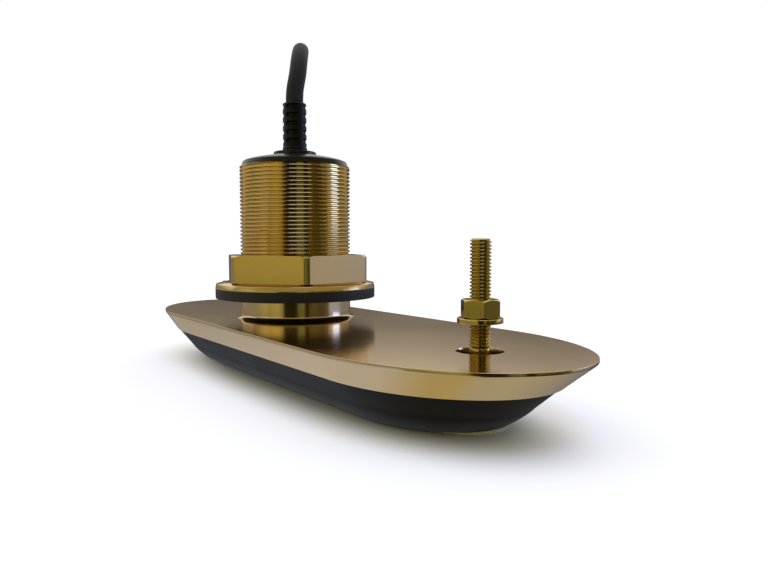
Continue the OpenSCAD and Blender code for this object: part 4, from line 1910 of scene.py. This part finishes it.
@dataclass
class Studio:
    """Pale floor, white surroundings and a soft studio round the object."""

    facing_deg: float = -28.0
    sky: Colour = (1.05, 1.05, 1.04)
    strip: Colour = (1.65, 2.3, 6.8)
    strip_mid: Colour = (3.0, 4.8, 11.0)
    strip_top: Colour = (1.35, 1.45, 2.1)
    strip_deg: float = 92.0
    card: Colour = (0.4, 0.36, 0.16)
    overhead: Colour = (1.45, 1.8, 3.8)
    shade: Colour = (0.03, 0.026, 0.012)
    floor_tone: Colour = (0.775, 0.775, 0.82)
    floor_lift: float = 0.48
    floor_z: float = -0.02
    floor_radii: Place = (3000.0, 1200.0, 500.0)
    floor_around: int = 96

    # Where the lights begin and end. A height is a sine, and a side is a sine or cosine of the turn.
    # Turns from the camera's own direction, and widths about them, are in radians.
    front_side: ClassVar[Span] = (-0.3, 0.5)
    right_side: ClassVar[Span] = (0.15, 0.4)
    dim_turn: ClassVar[float] = -1.05
    dim_width: ClassVar[Span] = (0.65, 0.35)
    dim_height: ClassVar[Span] = (-0.045, -0.1)
    dim_share: ClassVar[float] = 0.48
    glow_foot: ClassVar[Span] = (0.115, 0.15)
    glow_head: ClassVar[Span] = (0.34, 0.24)
    glow_share: ClassVar[float] = 0.8
    sky_foot: ClassVar[Span] = (0.095, 0.278)
    sky_rise: ClassVar[float] = 0.028
    strip_width: ClassVar[Span] = (0.21, 0.14)
    strip_foot: ClassVar[Span] = (-0.02, 0.06)
    strip_head: ClassVar[Span] = (0.6, 0.45)
    mid_foot: ClassVar[Span] = (0.1, 0.13)
    top_foot: ClassVar[Span] = (0.165, 0.185)
    card_turn: ClassVar[float] = 0.5
    card_side: ClassVar[Span] = (-0.2, 0.3)
    card_foot: ClassVar[Span] = (0.2, 0.35)
    card_head: ClassVar[Span] = (0.8, 0.65)
    overhead_turn: ClassVar[float] = 0.26
    overhead_side: ClassVar[Span] = (0.72, 0.84)
    overhead_foot: ClassVar[Span] = (0.84, 0.9)
    ground_side: ClassVar[Span] = (-0.5, 0.4)
    ground_edge: ClassVar[Span] = (0.11, 0.3)
    ground_rise: ClassVar[float] = 0.12
    shade_turn: ClassVar[float] = 0.3
    shade_side: ClassVar[Span] = (0.68, 0.8)

    # The shadow that the floor keeps, in metres: a band along X, drawn out at its ends, wider at its waist.
    shadow_ends: ClassVar[Span] = (-0.03, 0.058)
    shadow_slopes: ClassVar[Span] = (-0.43, 0.5)
    shadow_y: ClassVar[float] = -0.006
    shadow_half: ClassVar[float] = 0.0144
    shadow_fade: ClassVar[Span] = (0.001, 0.022)
    waist_x: ClassVar[float] = 0.012
    waist_reach: ClassVar[Span] = (0.065, 0.02)
    waist_swell: ClassVar[float] = 0.0022

    # Azimuth from the camera's own direction, and the tone of the wall there.
    walls: ClassVar[Stops] = (
        (-180.0, (0.1, 0.09, 0.08)),
        (-162.0, (0.17, 0.16, 0.15)),
        (-145.0, (0.36, 0.35, 0.34)),
        (-100.0, (0.36, 0.345, 0.27)),
        (-66.0, (0.54, 0.5, 0.24)),
        (-55.0, (0.46, 0.42, 0.15)),
        (-48.0, (0.56, 0.5, 0.18)),
        (-38.0, (0.57, 0.51, 0.18)),
        (-30.0, (0.4, 0.36, 0.15)),
        (-23.0, (0.02, 0.018, 0.006)),
        (0.0, (0.02, 0.018, 0.006)),
        (5.0, (0.17, 0.18, 0.07)),
        (15.0, (0.2, 0.22, 0.08)),
        (19.0, (0.025, 0.02, 0.008)),
        (25.0, (0.025, 0.02, 0.008)),
        (30.0, (0.17, 0.14, 0.03)),
        (36.0, (0.12, 0.11, 0.04)),
        (54.0, (0.09, 0.08, 0.035)),
        (69.5, (0.15, 0.14, 0.08)),
        (73.0, (0.5, 0.5, 0.6)),
        (77.0, (0.56, 0.57, 0.69)),
        (84.0, (0.44, 0.5, 0.72)),
        (100.0, (0.44, 0.5, 0.72)),
        (108.0, (0.33, 0.355, 0.41)),
        (145.0, (0.28, 0.3, 0.345)),
        (158.0, (0.13, 0.12, 0.12)),
        (180.0, (0.1, 0.09, 0.08)),
    )
    # Share of the way straight down, and the tone of the ground there, to the left and to the right.
    ground_left: ClassVar[Stops] = (
        (0.1, (0.46, 0.47, 0.46)),
        (0.36, (0.51, 0.54, 0.6)),
        (0.5, (0.68, 0.72, 0.84)),
        (0.8, (0.73, 0.75, 0.82)),
        (0.95, (0.62, 0.54, 0.3)),
    )
    ground_right: ClassVar[Stops] = (
        (0.1, (0.1, 0.1, 0.1)),
        (0.2, (0.1, 0.1, 0.1)),
        (0.3, (0.2, 0.21, 0.22)),
        (0.5, (0.33, 0.34, 0.36)),
        (0.65, (0.42, 0.44, 0.48)),
        (0.9, (0.6, 0.58, 0.52)),
    )

    def upper(self, book: NodeBook, turn: Sock, z: Sock) -> Sock:
        """Tone of the walls, the sky and the lights.

        Args:
            book: The surroundings' tree.
            turn: Azimuth from the camera's own direction.
            z: Sine of the height.

        Returns:
            The tone, before the ground is laid over it.
        """
        share = book.math("FRACT", turn / math.tau + 1.5)
        stops = [((deg + 180.0) / 360.0, tone) for deg, tone in self.walls]
        walls = book.ramp(share, stops, "EASE")
        ahead = book.smooth(book.math("COSINE", turn), *self.front_side)
        dim = book.smooth(z, *self.dim_height) * book.smooth(abs(turn - self.dim_turn), *self.dim_width)
        glow = book.smooth(z, *self.glow_foot) * book.smooth(z, *self.glow_head) * ahead
        gain = 1.0 - dim * self.dim_share + glow * self.glow_share
        walls = book.node("ShaderNodeVectorMath", {"operation": "SCALE"}, {0: walls, "Scale": gain})
        height = z - ahead - self.right(book, turn) * self.sky_rise
        tone = book.mix(book.smooth(height, *self.sky_foot), walls, self.sky)
        across = abs(turn - math.radians(self.strip_deg))
        strip = book.smooth(z, *self.strip_foot) * book.smooth(z, *self.strip_head)
        strip_tone = book.mix(book.smooth(z, *self.mid_foot), self.strip, self.strip_mid)
        strip_tone = book.mix(book.smooth(z, *self.top_foot), strip_tone, self.strip_top)
        tone = book.mix(book.smooth(across, *self.strip_width) * strip, tone, strip_tone)
        card = book.smooth(z, *self.card_foot) * book.smooth(z, *self.card_head)
        front = book.smooth(book.math("COSINE", turn - self.card_turn), *self.card_side)
        tone = book.mix(card * front, tone, self.card)
        above = book.smooth(book.math("COSINE", turn - self.overhead_turn), *self.overhead_side)
        return book.mix(above * book.smooth(z, *self.overhead_foot), tone, self.overhead)

    def right(self, book: NodeBook, turn: Sock) -> Sock:
        """1 to the right of the camera's direction, 0 to its left."""
        return book.smooth(book.math("SINE", turn), *self.right_side)

    def ground(self, book: NodeBook, turn: Sock, down: Sock) -> Sock:
        """Tone of the ground.

        Args:
            book: The surroundings' tree.
            turn: Azimuth from the camera's own direction.
            down: Sine of the depth below the horizon.

        Returns:
            The tone.
        """
        left, right = (book.ramp(down, stops) for stops in (self.ground_left, self.ground_right))
        tone = book.mix(book.smooth(book.math("SINE", turn), *self.ground_side), left, right)
        shaded = book.smooth(book.math("COSINE", turn - self.shade_turn), *self.shade_side)
        return book.mix(shaded, tone, self.shade)

    def world(self) -> None:
        """Makes the surroundings: white to the camera, a soft studio to everything else."""
        world = bpy.data.worlds.new("studio")
        book = NodeBook.fresh(world)
        x, y, z = book.split(book.node("ShaderNodeTexCoord", None, None, "Generated"))
        turn = book.math("ARCTAN2", y, x) - math.radians(self.facing_deg)
        down = 0.0 - z
        low, high = self.ground_edge
        buried = book.smooth(down, low, high - self.right(book, turn) * self.ground_rise)
        tone = book.mix(buried, self.upper(book, turn, z), self.ground(book, turn, down))
        room = book.node("ShaderNodeBackground", None, {"Color": tone, "Strength": 1.0})
        white = book.node("ShaderNodeBackground", None, {"Color": (1.0, 1.0, 1.0), "Strength": 1.0})
        both = book.node("ShaderNodeMixShader", None, {0: book.sighted(), 1: room, 2: white})
        book.node("ShaderNodeOutputWorld", None, {"Surface": both})
        bpy.context.scene.world = world

    def away(self, book: NodeBook) -> Sock:
        """How far a place on the floor is out of the object's shadow.

        Args:
            book: The floor's tree.

        Returns:
            0 in the shadow and 1 away from it.
        """
        x, y, _ = book.split(book.node("ShaderNodeTexCoord", None, None, "Object"))
        before, after = ((x - end) * slope for end, slope in zip(self.shadow_ends, self.shadow_slopes))
        past = book.math("MAXIMUM", book.math("MAXIMUM", after, before), 0.0)
        waist = book.smooth(abs(x - self.waist_x), *self.waist_reach) * self.waist_swell
        clear = book.hypot(past, y - self.shadow_y) - self.shadow_half - waist
        return book.smooth(clear, *self.shadow_fade)

    def floor(self) -> None:
        """Makes the floor, which keeps the object's shadow and turns white away from it."""
        bm = bmesh.new()
        rings = [circle(bm, 0.0, 0.0, r, self.floor_z, self.floor_around) for r in self.floor_radii]
        bridge(bm, rings)
        bm.faces.new(rings[-1])
        floor = new_object("floor", bm)
        material = bpy.data.materials.new("pale_floor")
        book = NodeBook.fresh(material)
        paler = book.sighted() * self.away(book)
        tone = book.node("ShaderNodeBsdfDiffuse", None, {"Color": self.floor_tone})
        lift = book.node("ShaderNodeEmission", None, {"Color": (1.0, 1.0, 1.0), "Strength": self.floor_lift})
        lit = book.node("ShaderNodeAddShader", None, {0: tone, 1: lift})
        both = book.node("ShaderNodeMixShader", None, {0: paler, 1: tone, 2: lit})
        book.node("ShaderNodeOutputMaterial", None, {"Surface": both})
        floor.data.materials.append(material)
        floor.visible_glossy = False

    def build(self) -> None:
        """Makes the surroundings and the floor."""
        self.world()
        self.floor()
        bpy.context.scene.view_settings.view_transform = "Standard"


def main() -> None:
    """Builds everything in order."""
    logging.basicConfig(level=logging.INFO, format="%(name)s %(message)s")
    Shot().build()
    plug = Plug().build(RibRule())
    Lead().build([*plug, CoilTie().build()])
    threads = ThreadRule()
    Housing().build(threads)
    Window().build()
    Clamp().build()
    Stud().build(threads)
    Cap().build(SlotRule())
    carry(INSIDE)
    Studio().build()


if __name__ == "__main__":
    main()
